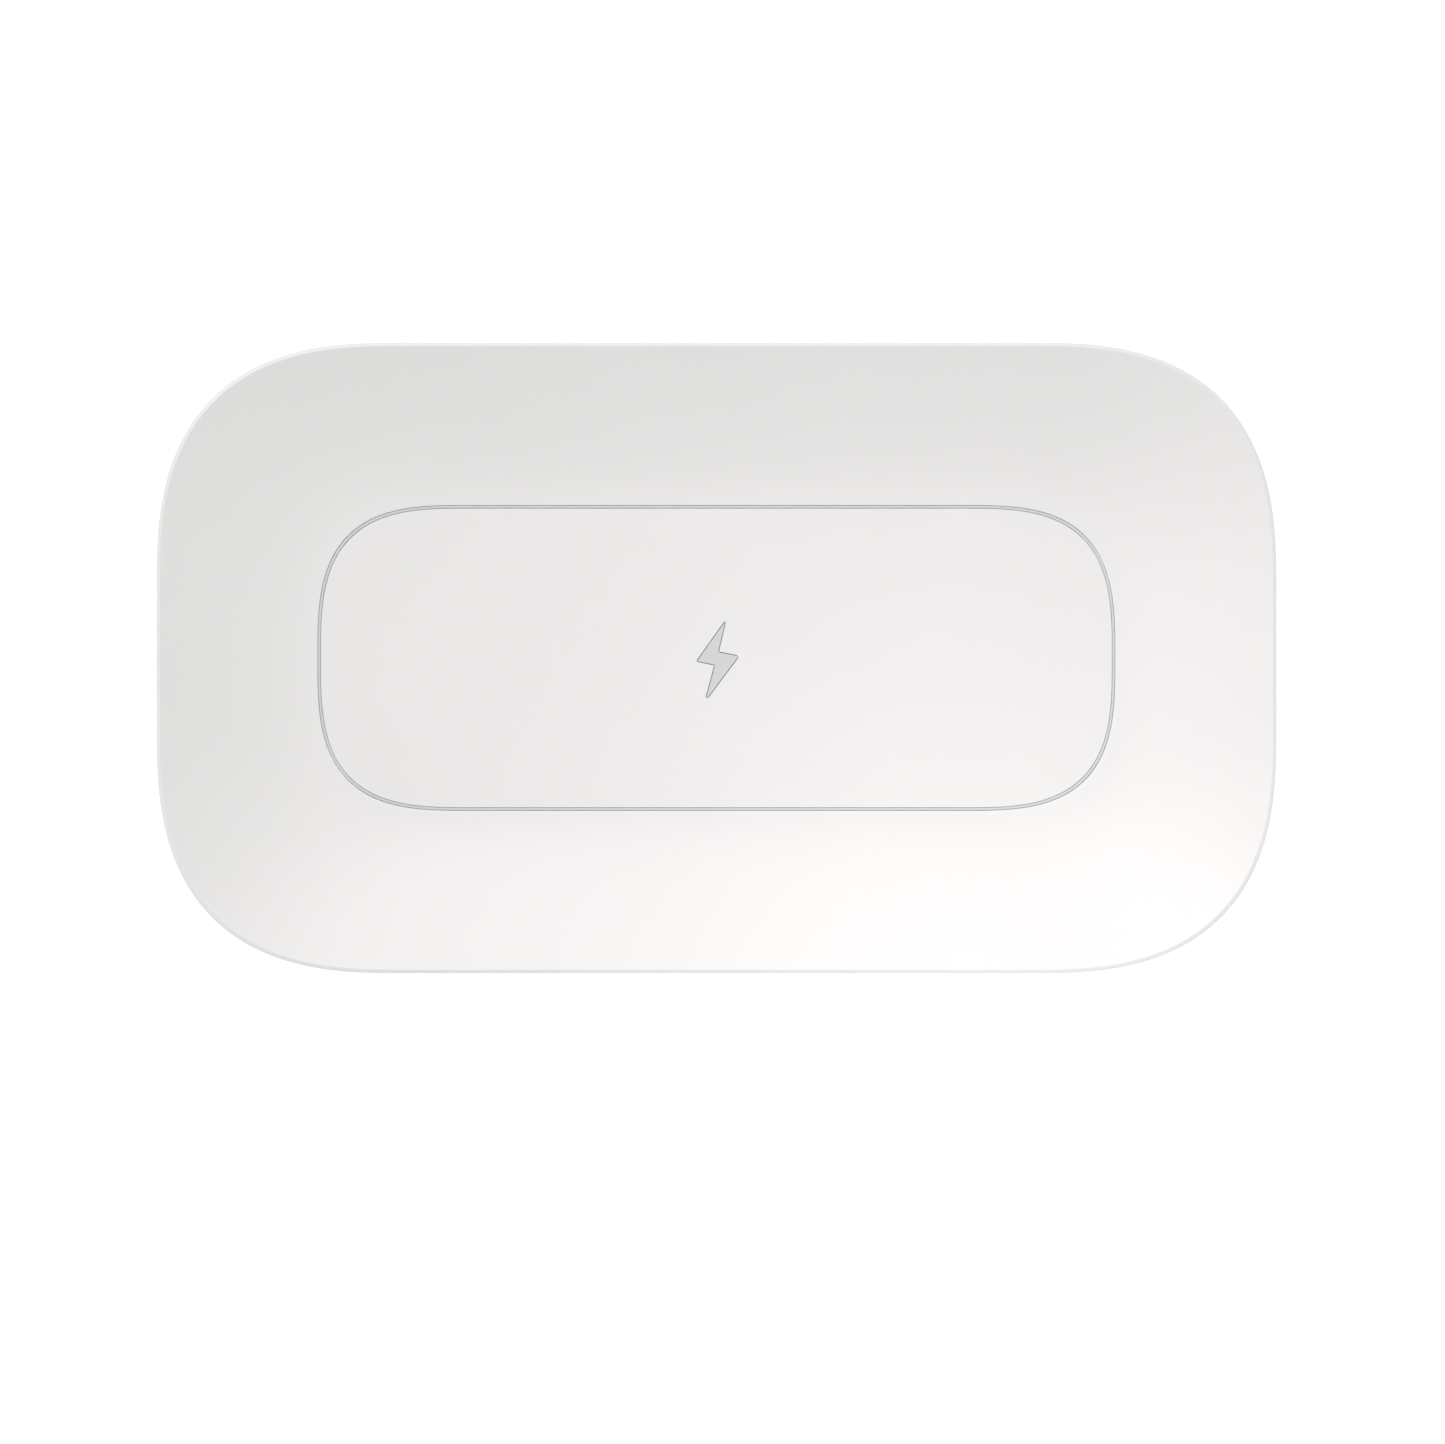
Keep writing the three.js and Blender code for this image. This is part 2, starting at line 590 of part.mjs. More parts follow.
// Each lead runs from the edge of the winding over the carrier to its pad on the board.
function makeCoilLeads() {
  const section = new THREE.Shape().absarc(0, 0, LEAD_R, 0, 2 * Math.PI);
  const height = BOARD_TOP + LEAD_R + 0.05;
  for (const [name, side] of [["coil_lead_left", -1], ["coil_lead_right", 1]]) {
    const path = new THREE.CatmullRomCurve3([
      new THREE.Vector3(side * LEAD_X, 25, height),
      new THREE.Vector3(side * LEAD_X, 28, height),
      new THREE.Vector3(side * (LEAD_X - 1), 31, height),
      new THREE.Vector3(side * (LEAD_X - 1), 33.8, height),
    ]);
    const options = { steps: 6, bevelEnabled: false, extrudePath: path, curveSegments: 4 };
    addPiece(name, "copper_litz", solid(new THREE.ExtrudeGeometry(section, options)));
  }
}

function makeBallast() {
  for (const [name, side] of [["ballast_left", -1], ["ballast_right", 1]]) {
    let piece = plate(BALLAST_LENGTH, BALLAST_WIDTH, 4, BALLAST_Z, side * BALLAST_X, 0);
    for (const [x, y] of BALLAST_PEGS) {
      const above = BALLAST_Z[1] + 1;
      piece = piece.subtract(cylinder(PEG_R + 0.2, BALLAST_Z[0] - 1, above, side * BALLAST_X + x, y));
    }
    addPiece(name, "ballast_steel", piece);
  }
}

function makeStatusLight() {
  const middle = (LIGHT_BOARD_Y[0] + LIGHT_BOARD_Y[1]) / 2;
  const width = LIGHT_BOARD_Y[1] - LIGHT_BOARD_Y[0];
  let board = plate(LIGHT_BOARD_LENGTH, width, 1, LIGHT_BOARD_Z, 0, middle);
  for (const side of [-1, 1]) {
    const x = side * LIGHT_PEG_X;
    const hole = cylinder(LIGHT_PEG_HOLE, LIGHT_BOARD_Z[0] - 1, LIGHT_BOARD_Z[1] + 1, x, LIGHT_PEG_Y);
    board = board.subtract(hole);
  }
  addPiece("light_board", "board", board);
  const top = LIGHT_BOARD_Z[1];
  addPiece("status_led", "led", centredBox(3, 1.4, [top, top + 1.3], 0, LIGHT_BOARD_Y[0] + 1));
  addPiece("light_cable_socket", "cable_socket", centredBox(4, 3, [top, top + 1.6], 2.2, -50.8));
  const rod = ovalBar(LIGHT_PIPE_WIDTH, LIGHT_PIPE_HEIGHT, [-MIDDLE, LIGHT_BOARD_Y[0] - 0.3], LIGHT_PIPE_Z);
  const flange = centredBox(9, 0.8, [LIGHT_PIPE_Z - 1.4, LIGHT_PIPE_Z + 1.4], 0, -58.6);
  addPiece("light_pipe", "light_pipe", rod.intersect(coverBlank()).add(flange));
}

// The flat cable drops from the light board, lies on the base and rises to the main board.
function makeLightCable() {
  const section = new THREE.Shape([
    new THREE.Vector2(-0.15, -2),
    new THREE.Vector2(0.15, -2),
    new THREE.Vector2(0.15, 2),
    new THREE.Vector2(-0.15, 2),
  ]);
  const path = new THREE.CatmullRomCurve3([
    new THREE.Vector3(2, -45.5, 3.5),
    new THREE.Vector3(14, -44, 3.5),
    new THREE.Vector3(LIGHT_CABLE_X - 3, -36, 3.5),
    new THREE.Vector3(LIGHT_CABLE_X + 2, -20, 3.5),
    new THREE.Vector3(LIGHT_CABLE_X + 2, 0, 3.5),
    new THREE.Vector3(LIGHT_CABLE_X + 1, 20, 3.5),
    new THREE.Vector3(LIGHT_CABLE_X - 2, 36, 3.5),
  ]);
  const options = { steps: 14, bevelEnabled: false, extrudePath: path };
  addPiece("light_cable", "ribbon", solid(new THREE.ExtrudeGeometry(section, options)));
}

makeTopCover();
makeInlays();
makeBottomShell();
makeFeet();
makeScrews();
makeMainBoard();
makeSocket();
makeBoardParts();
makeCoilStack();
makeCoilLeads();
makeBallast();
makeStatusLight();
makeLightCable();

export default pad;
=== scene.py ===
# %% [markdown]
# # A wide wireless charging pad
#
# The pad is a shallow white tray of moulded plastic, 228 mm long and 16 mm high. A phone lies
# in its flat middle, inside a thin grey ring, and a small grey lightning bolt marks the coil.
# The solid parts come from the CAD frame. This lesson gives each of them the surface that the
# moulding tool, the press or the winding machine would leave, and lights them like a studio
# shot from straight above.
#
# Lengths are worked out in millimetres, because that is how such a part is drawn, and turned
# into metres once, when a mesh is made.

# %% Load the frame
import json

import bpy
import numpy as np
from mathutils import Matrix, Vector


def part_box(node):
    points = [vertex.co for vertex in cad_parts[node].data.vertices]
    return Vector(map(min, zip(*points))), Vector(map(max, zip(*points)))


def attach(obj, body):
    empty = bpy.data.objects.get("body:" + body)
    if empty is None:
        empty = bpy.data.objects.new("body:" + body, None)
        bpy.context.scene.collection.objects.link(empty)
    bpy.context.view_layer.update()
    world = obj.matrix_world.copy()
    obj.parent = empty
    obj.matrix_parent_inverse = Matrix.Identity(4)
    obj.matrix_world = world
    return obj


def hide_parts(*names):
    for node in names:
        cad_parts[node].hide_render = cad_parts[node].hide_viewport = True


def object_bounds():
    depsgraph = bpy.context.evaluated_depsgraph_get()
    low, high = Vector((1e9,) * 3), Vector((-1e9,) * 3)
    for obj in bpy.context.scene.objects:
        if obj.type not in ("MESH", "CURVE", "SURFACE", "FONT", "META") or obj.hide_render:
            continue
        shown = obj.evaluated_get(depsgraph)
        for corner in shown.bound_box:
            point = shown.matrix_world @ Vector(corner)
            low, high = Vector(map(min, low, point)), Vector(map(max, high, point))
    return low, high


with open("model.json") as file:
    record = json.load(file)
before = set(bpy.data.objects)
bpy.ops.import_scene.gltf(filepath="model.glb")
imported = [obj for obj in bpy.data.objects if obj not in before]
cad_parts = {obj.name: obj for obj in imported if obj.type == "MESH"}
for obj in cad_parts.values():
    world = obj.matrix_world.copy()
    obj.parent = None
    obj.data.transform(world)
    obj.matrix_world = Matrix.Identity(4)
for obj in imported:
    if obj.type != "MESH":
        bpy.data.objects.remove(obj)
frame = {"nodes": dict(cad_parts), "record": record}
cad_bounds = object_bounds()
MM = 0.001
NODES = frame["nodes"]
ROOT = "root"


def node_box(name):
    """Lowest and highest corner of a CAD node, in millimetres."""
    low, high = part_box(name)
    return np.array(low) / MM, np.array(high) / MM


def middle_of(name):
    """The x and y of the middle of a CAD node."""
    low, high = node_box(name)
    return (low[:2] + high[:2]) / 2


FEET = [name for name in NODES if name.startswith("foot_")]
CASE_SCREWS = [name for name in NODES if name.startswith("case_screw_")]
BOARD_SCREWS = [name for name in NODES if name.startswith("board_screw_")]
low, high = (np.array(corner) / MM for corner in cad_bounds)
print("pad", (high - low).round(1), "mm", len(NODES), "nodes")

# %% [markdown]
# ## The outline
#
# Seen from above, the pad is a rectangle whose corners are superellipses: they leave the
# straight sides without a visible start, as a circle's arc never does. One formula with one
# exponent per corner holds the whole outline. A ready-made rounded cube would show a jump in
# the reflections where the arc begins, so the outline is computed instead.
#
# The grey ring is a smaller outline of the same family. Every line between the two is found by
# blending their sizes, so the slope of the tray flows from one to the other.

# %% Outline formula
PAD_HALF = (high[:2] - low[:2]) / 2
PAD_CORNER = 49.3
PAD_POWER = 2.66
RING_HALF = np.array([81.1, 30.85])
RING_CORNER = RING_HALF[1]
RING_POWER = 3.12
RING_INSET = PAD_HALF[1] - RING_HALF[1]


def outline(inset, steps):
    """Points of the outline a given inset inside the rim, anticlockwise from the right side.

    In each quarter, x = half - corner + corner * cos(a) ** (2 / power) and y the same with the
    sine, where half, corner and power go evenly from the rim's values to the ring's. inset is
    one number or one per point, and steps is the number of points in each quarter."""
    quarter = np.repeat(np.arange(4), steps)
    along = np.tile(np.linspace(0, 1, steps), 4)
    angle = np.where(quarter % 2 == 0, along, 1 - along) * np.pi / 2
    share = inset / RING_INSET
    blend = np.clip(share, 0, 1)
    half_x = PAD_HALF[0] - share * (PAD_HALF[0] - RING_HALF[0])
    half_y = np.maximum(PAD_HALF[1] - inset, 0)
    corner = np.minimum(PAD_CORNER + (RING_CORNER - PAD_CORNER) * blend, half_y)
    power = 2 / (PAD_POWER + (RING_POWER - PAD_POWER) * blend)
    # a power below 1 spreads the points at both ends of a quarter, so the angle is eased there
    eased = angle - 0.18 * np.sin(4 * angle)
    x = half_x - corner + corner * np.clip(np.cos(eased), 0, 1) ** power
    y = half_y - corner + corner * np.clip(np.sin(eased), 0, 1) ** power
    sign_x = np.where((quarter == 0) | (quarter == 3), 1, -1)
    sign_y = np.where(quarter < 2, 1, -1)
    return sign_x * x, sign_y * y


print("ring inset", round(float(RING_INSET), 2), "mm")

# %% [markdown]
# ## From numbers to a mesh
#
# Most pieces here are a grid: one direction goes round the piece and the other along its
# profile. A grid of points becomes faces by joining each point to its right and upper
# neighbours, so one helper can make every piece. The alternative, adding vertices one by one
# with bmesh, is slower and hides the formula.

# %% Mesh and finish of a piece
def raw_mesh(name, points, faces):
    """An object from points in millimetres and faces, turned inside out if it is the wrong way.

    The volume inside is a sixth of the sum of each triangle's corner products. It comes out
    negative where the faces point inwards, and then every face is reversed."""
    mesh = bpy.data.meshes.new(name)
    mesh.from_pydata((np.asarray(points, float) * MM).tolist(), [], [list(f) for f in faces])
    mesh.update()
    mesh.calc_loop_triangles()
    corners = np.empty(3 * len(mesh.loop_triangles), int)
    mesh.loop_triangles.foreach_get("vertices", corners)
    a, b, c = (np.asarray(points, float)[corners[k::3]] for k in range(3))
    if (a * np.cross(b, c)).sum() < 0:
        mesh.flip_normals()
    piece = bpy.data.objects.new(name, mesh)
    bpy.context.scene.collection.objects.link(piece)
    return piece


def dress(piece, material, nodes=(), sharp=30):
    """Gives a piece its finish and its place in the frame.

    Edges that fold more than sharp degrees are drawn crisp and all others smooth."""
    mesh = piece.data
    mesh.shade_smooth()
    mesh.set_sharp_from_angle(angle=np.radians(sharp))
    mesh.materials.clear()
    mesh.materials.append(material)
    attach(piece, ROOT)
    if nodes:
        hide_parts(*nodes)
    return piece


print("every piece rides on", ROOT)

# %% [markdown]
# A stack of closed loops is such a grid. Three makers share it: one takes the loops as they
# are, one carries a profile round an upright axis like a lathe, and one carries it round the
# outline of the pad.

# %% Lofts and lathes
QUARTER = 40


def grid_faces(rows, columns, closed=False):
    """Four-sided faces of a grid of rows x columns points, always joined across the columns.

    closed joins the last row to the first as well, which makes a ring."""
    i = np.arange(rows if closed else rows - 1)
    j = np.arange(columns)
    i, j = (a.ravel() for a in np.meshgrid(i, j, indexing="ij"))
    i2 = (i + 1) % rows
    j2 = (j + 1) % columns
    return np.stack([i * columns + j, i * columns + j2, i2 * columns + j2, i2 * columns + j], 1)


def loft(name, loops, closed=False):
    """A piece through a stack of loops with equal counts of points, capped at both ends."""
    loops = np.asarray(loops, float)
    rows, columns = loops.shape[:2]
    faces = grid_faces(rows, columns, closed).tolist()
    if not closed:
        faces.append(list(range(columns))[::-1])
        faces.append([(rows - 1) * columns + k for k in range(columns)])
    return raw_mesh(name, loops.reshape(-1, 3), faces)


def turned(name, profile, sides, centre=(0, 0)):
    """A lathe piece: [radius, z] pairs carried round an upright axis through centre.

    Each point is (centre x + radius cos a, centre y + radius sin a, z)."""
    profile = np.asarray(profile, float)
    angle = np.arange(sides) * 2 * np.pi / sides
    x = centre[0] + profile[:, :1] * np.cos(angle)
    y = centre[1] + profile[:, :1] * np.sin(angle)
    z = np.repeat(profile[:, 1:], sides, 1)
    return loft(name, np.stack([x, y, z], -1))


def outlined(name, profile, steps=QUARTER, closed=False):
    """A piece whose sections are outlines: [inset, z] pairs, each carried round its outline."""
    loops = []
    for inset, z in profile:
        x, y = outline(inset, steps)
        loops.append(np.stack([x, y, np.full_like(x, z)], 1))
    return loft(name, loops, closed)


def arc(centre, radius, start, stop, steps):
    """Points of an arc as [first, second] pairs, with angles in degrees from the first axis."""
    angle = np.radians(np.linspace(start, stop, steps))
    return np.stack([centre[0] + radius * np.cos(angle), centre[1] + radius * np.sin(angle)], 1)


print("points round an outline", 4 * QUARTER)

# %% [markdown]
# Holes and bosses are cut and joined with booleans between closed solids. That is how a cutter
# meets the part, and it keeps the edge of a hole exact on a curved wall.


# %% Booleans
def combine(piece, tool, operation="DIFFERENCE"):
    """Cuts piece with a closed tool, or joins the two, and removes the tool."""
    modifier = piece.modifiers.new("combine", "BOOLEAN")
    modifier.operation = operation
    modifier.solver = "MANIFOLD"
    modifier.object = tool
    bpy.context.view_layer.update()
    made = piece.evaluated_get(bpy.context.evaluated_depsgraph_get())
    mesh = bpy.data.meshes.new_from_object(made)
    piece.modifiers.clear()
    piece.data = mesh
    bpy.data.objects.remove(tool)
    return piece


def count(piece):
    """Faces of a piece, for the running account."""
    return len(piece.data.polygons)


print("helpers ready")

# %% [markdown]
# ## Finishes
#
# The visible plastic is a satin white moulding. Its tool was spark eroded, which leaves a fine
# even grain about a third of a millimetre across and a few thousandths deep. The grain breaks
# up the highlight, so it goes in the bump and, a little, in the roughness. Plastic is never
# one colour either: flow and thickness make it drift by about one per cent over centimetres.
#
# The same builder of nodes serves every finish here. Each one gets a slow drift of colour, a
# finer change of roughness and a relief at its own scale. Textures of this kind need no
# picture and no unwrapping, because they are worked out from the place in the object.

# %% Finish builder
def finish(name, dark, light, rough, grain, relief, drift=25, metal=0.0, ior=1.5, level=0.5):
    """A material whose colour drifts between dark and light over drift millimetres.

    rough is the lowest and highest roughness, grain the size of the relief in millimetres and
    relief its depth in thousandths of a millimetre."""
    material = bpy.data.materials.new(name)
    material.use_nodes = True
    tree = material.node_tree
    shader = tree.nodes["Principled BSDF"]
    shader.inputs["Metallic"].default_value = metal
    shader.inputs["IOR"].default_value = ior
    shader.inputs["Specular IOR Level"].default_value = level
    place = tree.nodes.new("ShaderNodeTexCoord")

    def noise(size, detail):
        node = tree.nodes.new("ShaderNodeTexNoise")
        node.inputs["Scale"].default_value = 1 / (size * MM)
        node.inputs["Detail"].default_value = detail
        tree.links.new(place.outputs["Object"], node.inputs["Vector"])
        return node.outputs["Fac"]

    colour = tree.nodes.new("ShaderNodeMix")
    colour.data_type = "RGBA"
    colour.inputs["A"].default_value = (*dark, 1)
    colour.inputs["B"].default_value = (*light, 1)
    tree.links.new(noise(drift, 2), colour.inputs["Factor"])
    tree.links.new(colour.outputs["Result"], shader.inputs["Base Color"])
    roughness = tree.nodes.new("ShaderNodeMapRange")
    roughness.inputs["To Min"].default_value = rough[0]
    roughness.inputs["To Max"].default_value = rough[1]
    tree.links.new(noise(3 * grain, 3), roughness.inputs["Value"])
    tree.links.new(roughness.outputs["Result"], shader.inputs["Roughness"])
    bump = tree.nodes.new("ShaderNodeBump")
    bump.inputs["Strength"].default_value = 1.0
    bump.inputs["Distance"].default_value = relief * MM / 1000
    tree.links.new(noise(grain, 3), bump.inputs["Height"])
    tree.links.new(bump.outputs["Normal"], shader.inputs["Normal"])
    return material


print("finish builder ready")

# %% [markdown]
# The shells share one warm white. The inlays are a light neutral grey, duller than the shell.
# The feet are frosted silicone, the screws zinc plated and the socket nickel plated.

# %% Outer finishes
WHITE = finish(
    "white_satin_moulding", (0.848, 0.836, 0.829), (0.868, 0.856, 0.849), (0.44, 0.52), 0.34, 4
)
GREY = finish("grey_soft_inlay", (0.655, 0.652, 0.652), (0.695, 0.692, 0.692), (0.5, 0.62), 0.2, 5)
SILICONE = finish(
    "frosted_silicone", (0.66, 0.655, 0.64), (0.72, 0.715, 0.70), (0.7, 0.9), 0.5, 12
)
STEEL = finish(
    "zinc_plated_steel", (0.46, 0.47, 0.48), (0.60, 0.61, 0.62), (0.24, 0.42), 0.25, 3, 4, 1.0
)
NICKEL = finish(
    "nickel_plated_shell", (0.62, 0.62, 0.61), (0.70, 0.70, 0.69), (0.16, 0.3), 0.3, 2, 5, 1.0
)
print("outer finishes", [made.name for made in (WHITE, GREY, SILICONE, STEEL, NICKEL)])

# %% [markdown]
# ## Top cover
#
# The cover is one moulding: a rim, a broad slope, and a flat middle that is sunk 5 mm. On the
# real part the rim is a narrow band with a crisp inner edge. The band leans outwards by ten
# degrees and then rounds over, and it catches the light as a thin even line. Below the rim,
# the side curls under in a quarter ellipse, so the pad seems to float.
#
# The shape is a profile carried round the outline, so each visible edge is a few rows of the
# profile. The slope needs a formula of its own: it leaves the ring gently, like tanh, and gets
# steeper in a straight line up to the rim. A sculpted or subdivided box would give a softer
# and less certain edge.

# %% Heights and slopes
cover_low, cover_high = node_box("top_cover")
ring_high = node_box("placement_ring")[1]
shell_low = node_box("bottom_shell")[0]
RIM_Z = float(cover_high[2])
FLOOR_Z = float(ring_high[2]) + 0.05
BASE_Z = float(shell_low[2])
COVER_BOTTOM = float(cover_low[2])
WIDEST_Z = RIM_Z - 1
SIDE_DEPTH = 13.0
WALL = 2.0
CROWN = 0.72
CROWN_TILT = 0.18
CROWN_ROUND = 0.22
DISH_BEND = 9.0
DISH_START = 0.75
DISH_RUN = RING_INSET - DISH_START
CEILING_Z = FLOOR_Z - WALL
SHOULDER_Z = 13.6


def dish_rise(outward):
    """Half of bend * ln(cosh(d / bend)) plus half of d squared over twice the run.

    Its slope is the mean of tanh(d / bend) and d / run."""
    return (DISH_BEND * np.log(np.cosh(outward / DISH_BEND)) + outward**2 / (2 * DISH_RUN)) / 2


def dish_z(inset):
    """Height of the tray's surface at an inset, from the flat floor to the rim's inner edge."""
    outward = np.maximum(RING_INSET - inset, 0)
    return FLOOR_Z + (RIM_Z - FLOOR_Z) * dish_rise(outward) / dish_rise(DISH_RUN)


def crown_drop(share):
    """Fall of the rim's band: crown * tilt * share + round * (1 - sqrt(1 - share^8))."""
    return CROWN * CROWN_TILT * share + CROWN_ROUND * (1 - np.sqrt(1 - share**8))


def side_inset(z, wall=0.0):
    """How far a quarter ellipse stands inside the rim: wall + depth * (1 - sqrt(1 - drop^2))."""
    drop = (WIDEST_Z - z) / (WIDEST_Z - BASE_Z - wall)
    return wall + (SIDE_DEPTH - wall) * (1 - np.sqrt(np.clip(1 - drop**2, 0, 1)))


def pairs(inset, z):
    """Two arrays as a list of [inset, z] pairs."""
    return np.stack(np.broadcast_arrays(inset, z), 1).tolist()


print("rim", RIM_Z, "floor", FLOOR_Z, "base", BASE_Z, "cover bottom", round(COVER_BOTTOM, 2))

# %% [markdown]
# The profile runs from the middle of the ceiling out and down inside the wall, round the lower
# lip, up the outside, over the rim, and down the slope to the groove of the ring. Its rows stand
# close together where the surface bends and far apart where it is nearly straight.

# %% Cover profile
GROOVE = 0.66
GROOVE_DEPTH = 0.7
EDGE = 0.06
LIP = 0.3
groove_out = RING_INSET - GROOVE / 2
groove_in = RING_INSET + GROOVE / 2
middle = RING_INSET + 12
heights = np.linspace(13.0, COVER_BOTTOM + 0.2, 10)
slope = np.linspace(RING_INSET, side_inset(SHOULDER_Z, WALL), 14)
lip_out = side_inset(COVER_BOTTOM)
side = COVER_BOTTOM + LIP + (WIDEST_Z - COVER_BOTTOM - LIP) * np.linspace(0, 1, 34)
dish = CROWN + 0.05 + (groove_out - CROWN - 0.15) * np.linspace(0, 1, 44)
crown = np.sin(np.radians(np.linspace(90, 0, 16)))
cover_profile = (
    [[middle, CEILING_Z]]
    + pairs(slope, dish_z(slope) - WALL)
    + pairs(side_inset(heights, WALL), heights)
    + [[side_inset(COVER_BOTTOM, WALL), COVER_BOTTOM], [lip_out + LIP, COVER_BOTTOM]]
    + [[lip_out + 0.02, COVER_BOTTOM + 0.1]]
    + pairs(side_inset(side), side)
    + pairs(CROWN * (1 - crown), RIM_Z - crown_drop(crown))
    + pairs(dish, np.minimum(dish_z(dish), RIM_Z - 0.01))
    + pairs(groove_out - EDGE * np.array([1.6, 1.0]), dish_z(groove_out))
    + [[groove_out + d - EDGE, z] for d, z in arc((0, FLOOR_Z - EDGE), EDGE, 70, 0, 4)]
    + [[groove_out, FLOOR_Z - GROOVE_DEPTH], [groove_in, FLOOR_Z - GROOVE_DEPTH]]
    + [[groove_in + EDGE + d, z] for d, z in arc((0, FLOOR_Z - EDGE), EDGE, 180, 90, 5)]
    + [[groove_in + 2 * EDGE, FLOOR_Z], [groove_in + 0.6, FLOOR_Z], [middle, FLOOR_Z]]
)
COVER_STEPS = 48
cover = outlined("white_top_cover", cover_profile, COVER_STEPS)
print("cover rows", len(cover_profile), "faces", count(cover))

# %% [markdown]
# ## The openings in the cover
#
# A bolt-shaped pocket holds the grey mark, a flat oval pocket in the rear wall takes the plug,
# and a slot in the front wall lets the light pipe through. Each is a straight-sided cut, so a
# boolean with a simple solid gives the true edge. The plug pocket also has a thick block of
# plastic behind it, which is joined first, and a small raised lip round its mouth, as moulders
# add so that the corner doesn't look or feel sharp.

# %% Bolt outline
BOLT_UPPER = [[1.86, 8.03], [-4.25, -0.6], [-0.53, -1.37]]
BOLT_LOWER = [[-2.57, -8.97], [4.52, 0.52], [0.3, 1.36]]
BOLT = np.array(BOLT_UPPER + BOLT_LOWER)
BOLT_ROUND = np.array([[0.15], [0.18], [0.15], [0.25], [0.4], [0.15]])
BOLT_CENTRE = np.array([0.15, -0.1])
MARK_GAP = 0.07


def unit(rows):
    """Each row divided by its length."""
    return rows / np.linalg.norm(rows, axis=1, keepdims=True)


def rounded_loop(corners, radii, steps=7):
    """A closed line through corners, each replaced by an arc of its own radius.

    The arc's middle lies on the corner's bisector, radius / sin(half the corner) away, and its
    points are spokes turned evenly from the first side to the last."""
    before = unit(np.roll(corners, 1, 0) - corners)
    after = unit(np.roll(corners, -1, 0) - corners)
    half = np.arccos((before * after).sum(1, keepdims=True)) / 2
    centre = corners + radii * unit(before + after) / np.sin(half)
    first = ((corners + radii / np.tan(half) * before - centre) / radii)[:, None]
    last = ((corners + radii / np.tan(half) * after - centre) / radii)[:, None]
    turn = (np.pi - 2 * half)[:, None]
    t = np.linspace(0, 1, steps)[None, :, None]
    spokes = (np.sin((1 - t) * turn) * first + np.sin(t * turn) * last) / np.sin(turn)
    return (centre[:, None] + radii[:, None] * spokes).reshape(-1, 2)


def shifted_loop(loop, inward):
    """A closed anticlockwise line moved inwards along the mean of its neighbours' directions."""
    along = unit(np.roll(loop, -1, 0) - np.roll(loop, 1, 0))
    return loop + inward * np.stack([-along[:, 1], along[:, 0]], 1)


def flat_stack(name, loop, levels):
    """A piece from [inward, z] levels of one flat outline."""
    rings = []
    for inward, z in levels:
        moved = shifted_loop(loop, inward)
        rings.append(np.column_stack([moved, np.full(len(moved), z)]))
    return loft(name, rings)


print("bolt", np.ptp(BOLT[:, 0]), "x", np.ptp(BOLT[:, 1]), "mm")

# %% [markdown]
# The plug pocket, its mouth, the window and the socket are flat ovals: two half circles joined
# by straight sides, which is the shape that a round cutter leaves when it runs sideways.


# %% Ovals
def oval(width, height, steps=24):
    """A flat oval as [x, z] points round its middle: two half circles and two straight sides."""
    radius = height / 2
    right = arc((width / 2 - radius, 0), radius, -90, 90, steps)
    left = arc((radius - width / 2, 0), radius, 90, 270, steps)
    return np.concatenate([right, left])


def oval_bar(name, levels, z):
    """A bar along Y from [width, height, y] levels, with its axis at height z."""
    rings = []
    for width, height, y in levels:
        loop = oval(width, height)
        rings.append(np.column_stack([loop[:, 0], np.full(len(loop), y), z + loop[:, 1]]))
    return loft(name, rings)


print("points of an oval", len(oval(2, 1)))

# %% [markdown]
# The walls are curved, so the lip round the plug pocket and the face of the light pipe have to
# follow them. Each is a flat loop whose points are pushed out to the wall at their own height.

# %% Places on the walls
socket_low, socket_high = node_box("socket_shell")
pipe_low, pipe_high = node_box("light_pipe")
SOCKET_Z = float(socket_low[2] + socket_high[2]) / 2
PIPE_Z = float(pipe_low[2] + pipe_high[2]) / 2
POCKET = np.array([13.2, 6.8])
POCKET_FLOOR_Y = 59.4
BEAD_SIDES = 12
HALF_WIDTH = float(PAD_HALF[1])
bolt_loop = rounded_loop(BOLT, BOLT_ROUND) + BOLT_CENTRE


def wall_y(z, wall=0.0):
    """Distance of the long straight walls from the middle line at height z."""
    return HALF_WIDTH - side_inset(z, wall)


def follow_wall(loop, z, sign, out=0.0):
    """Points [x, y, z] of a flat loop laid on the rear (+1) or front (-1) wall."""
    height = z + loop[:, 1]
    return np.column_stack([loop[:, 0], sign * (wall_y(height) + out), height])


def bead(name, loop, z, sign, radius):
    """A round bead along a loop on the wall: points loop + radius * (cos a outwards + sin a out).

    Outwards is away from the loop's middle in its own plane, and out is away from the wall."""
    path = follow_wall(loop, z, sign)
    along = unit(np.roll(loop, -1, 0) - np.roll(loop, 1, 0))
    outwards = np.column_stack([along[:, 1], np.zeros(len(loop)), -along[:, 0]])
    angle = np.arange(BEAD_SIDES) * 2 * np.pi / BEAD_SIDES
    ring = np.cos(angle)[:, None, None] * outwards + np.sin(angle)[:, None, None] * [0, sign, 0]
    return loft(name, path + radius * ring, closed=True)


print("socket at", round(SOCKET_Z, 2), "mm, light pipe at", round(PIPE_Z, 2), "mm")

# %% [markdown]
# The block, the bosses and the lip are joined before the openings are cut, so that nothing
# joined later can close an opening again.

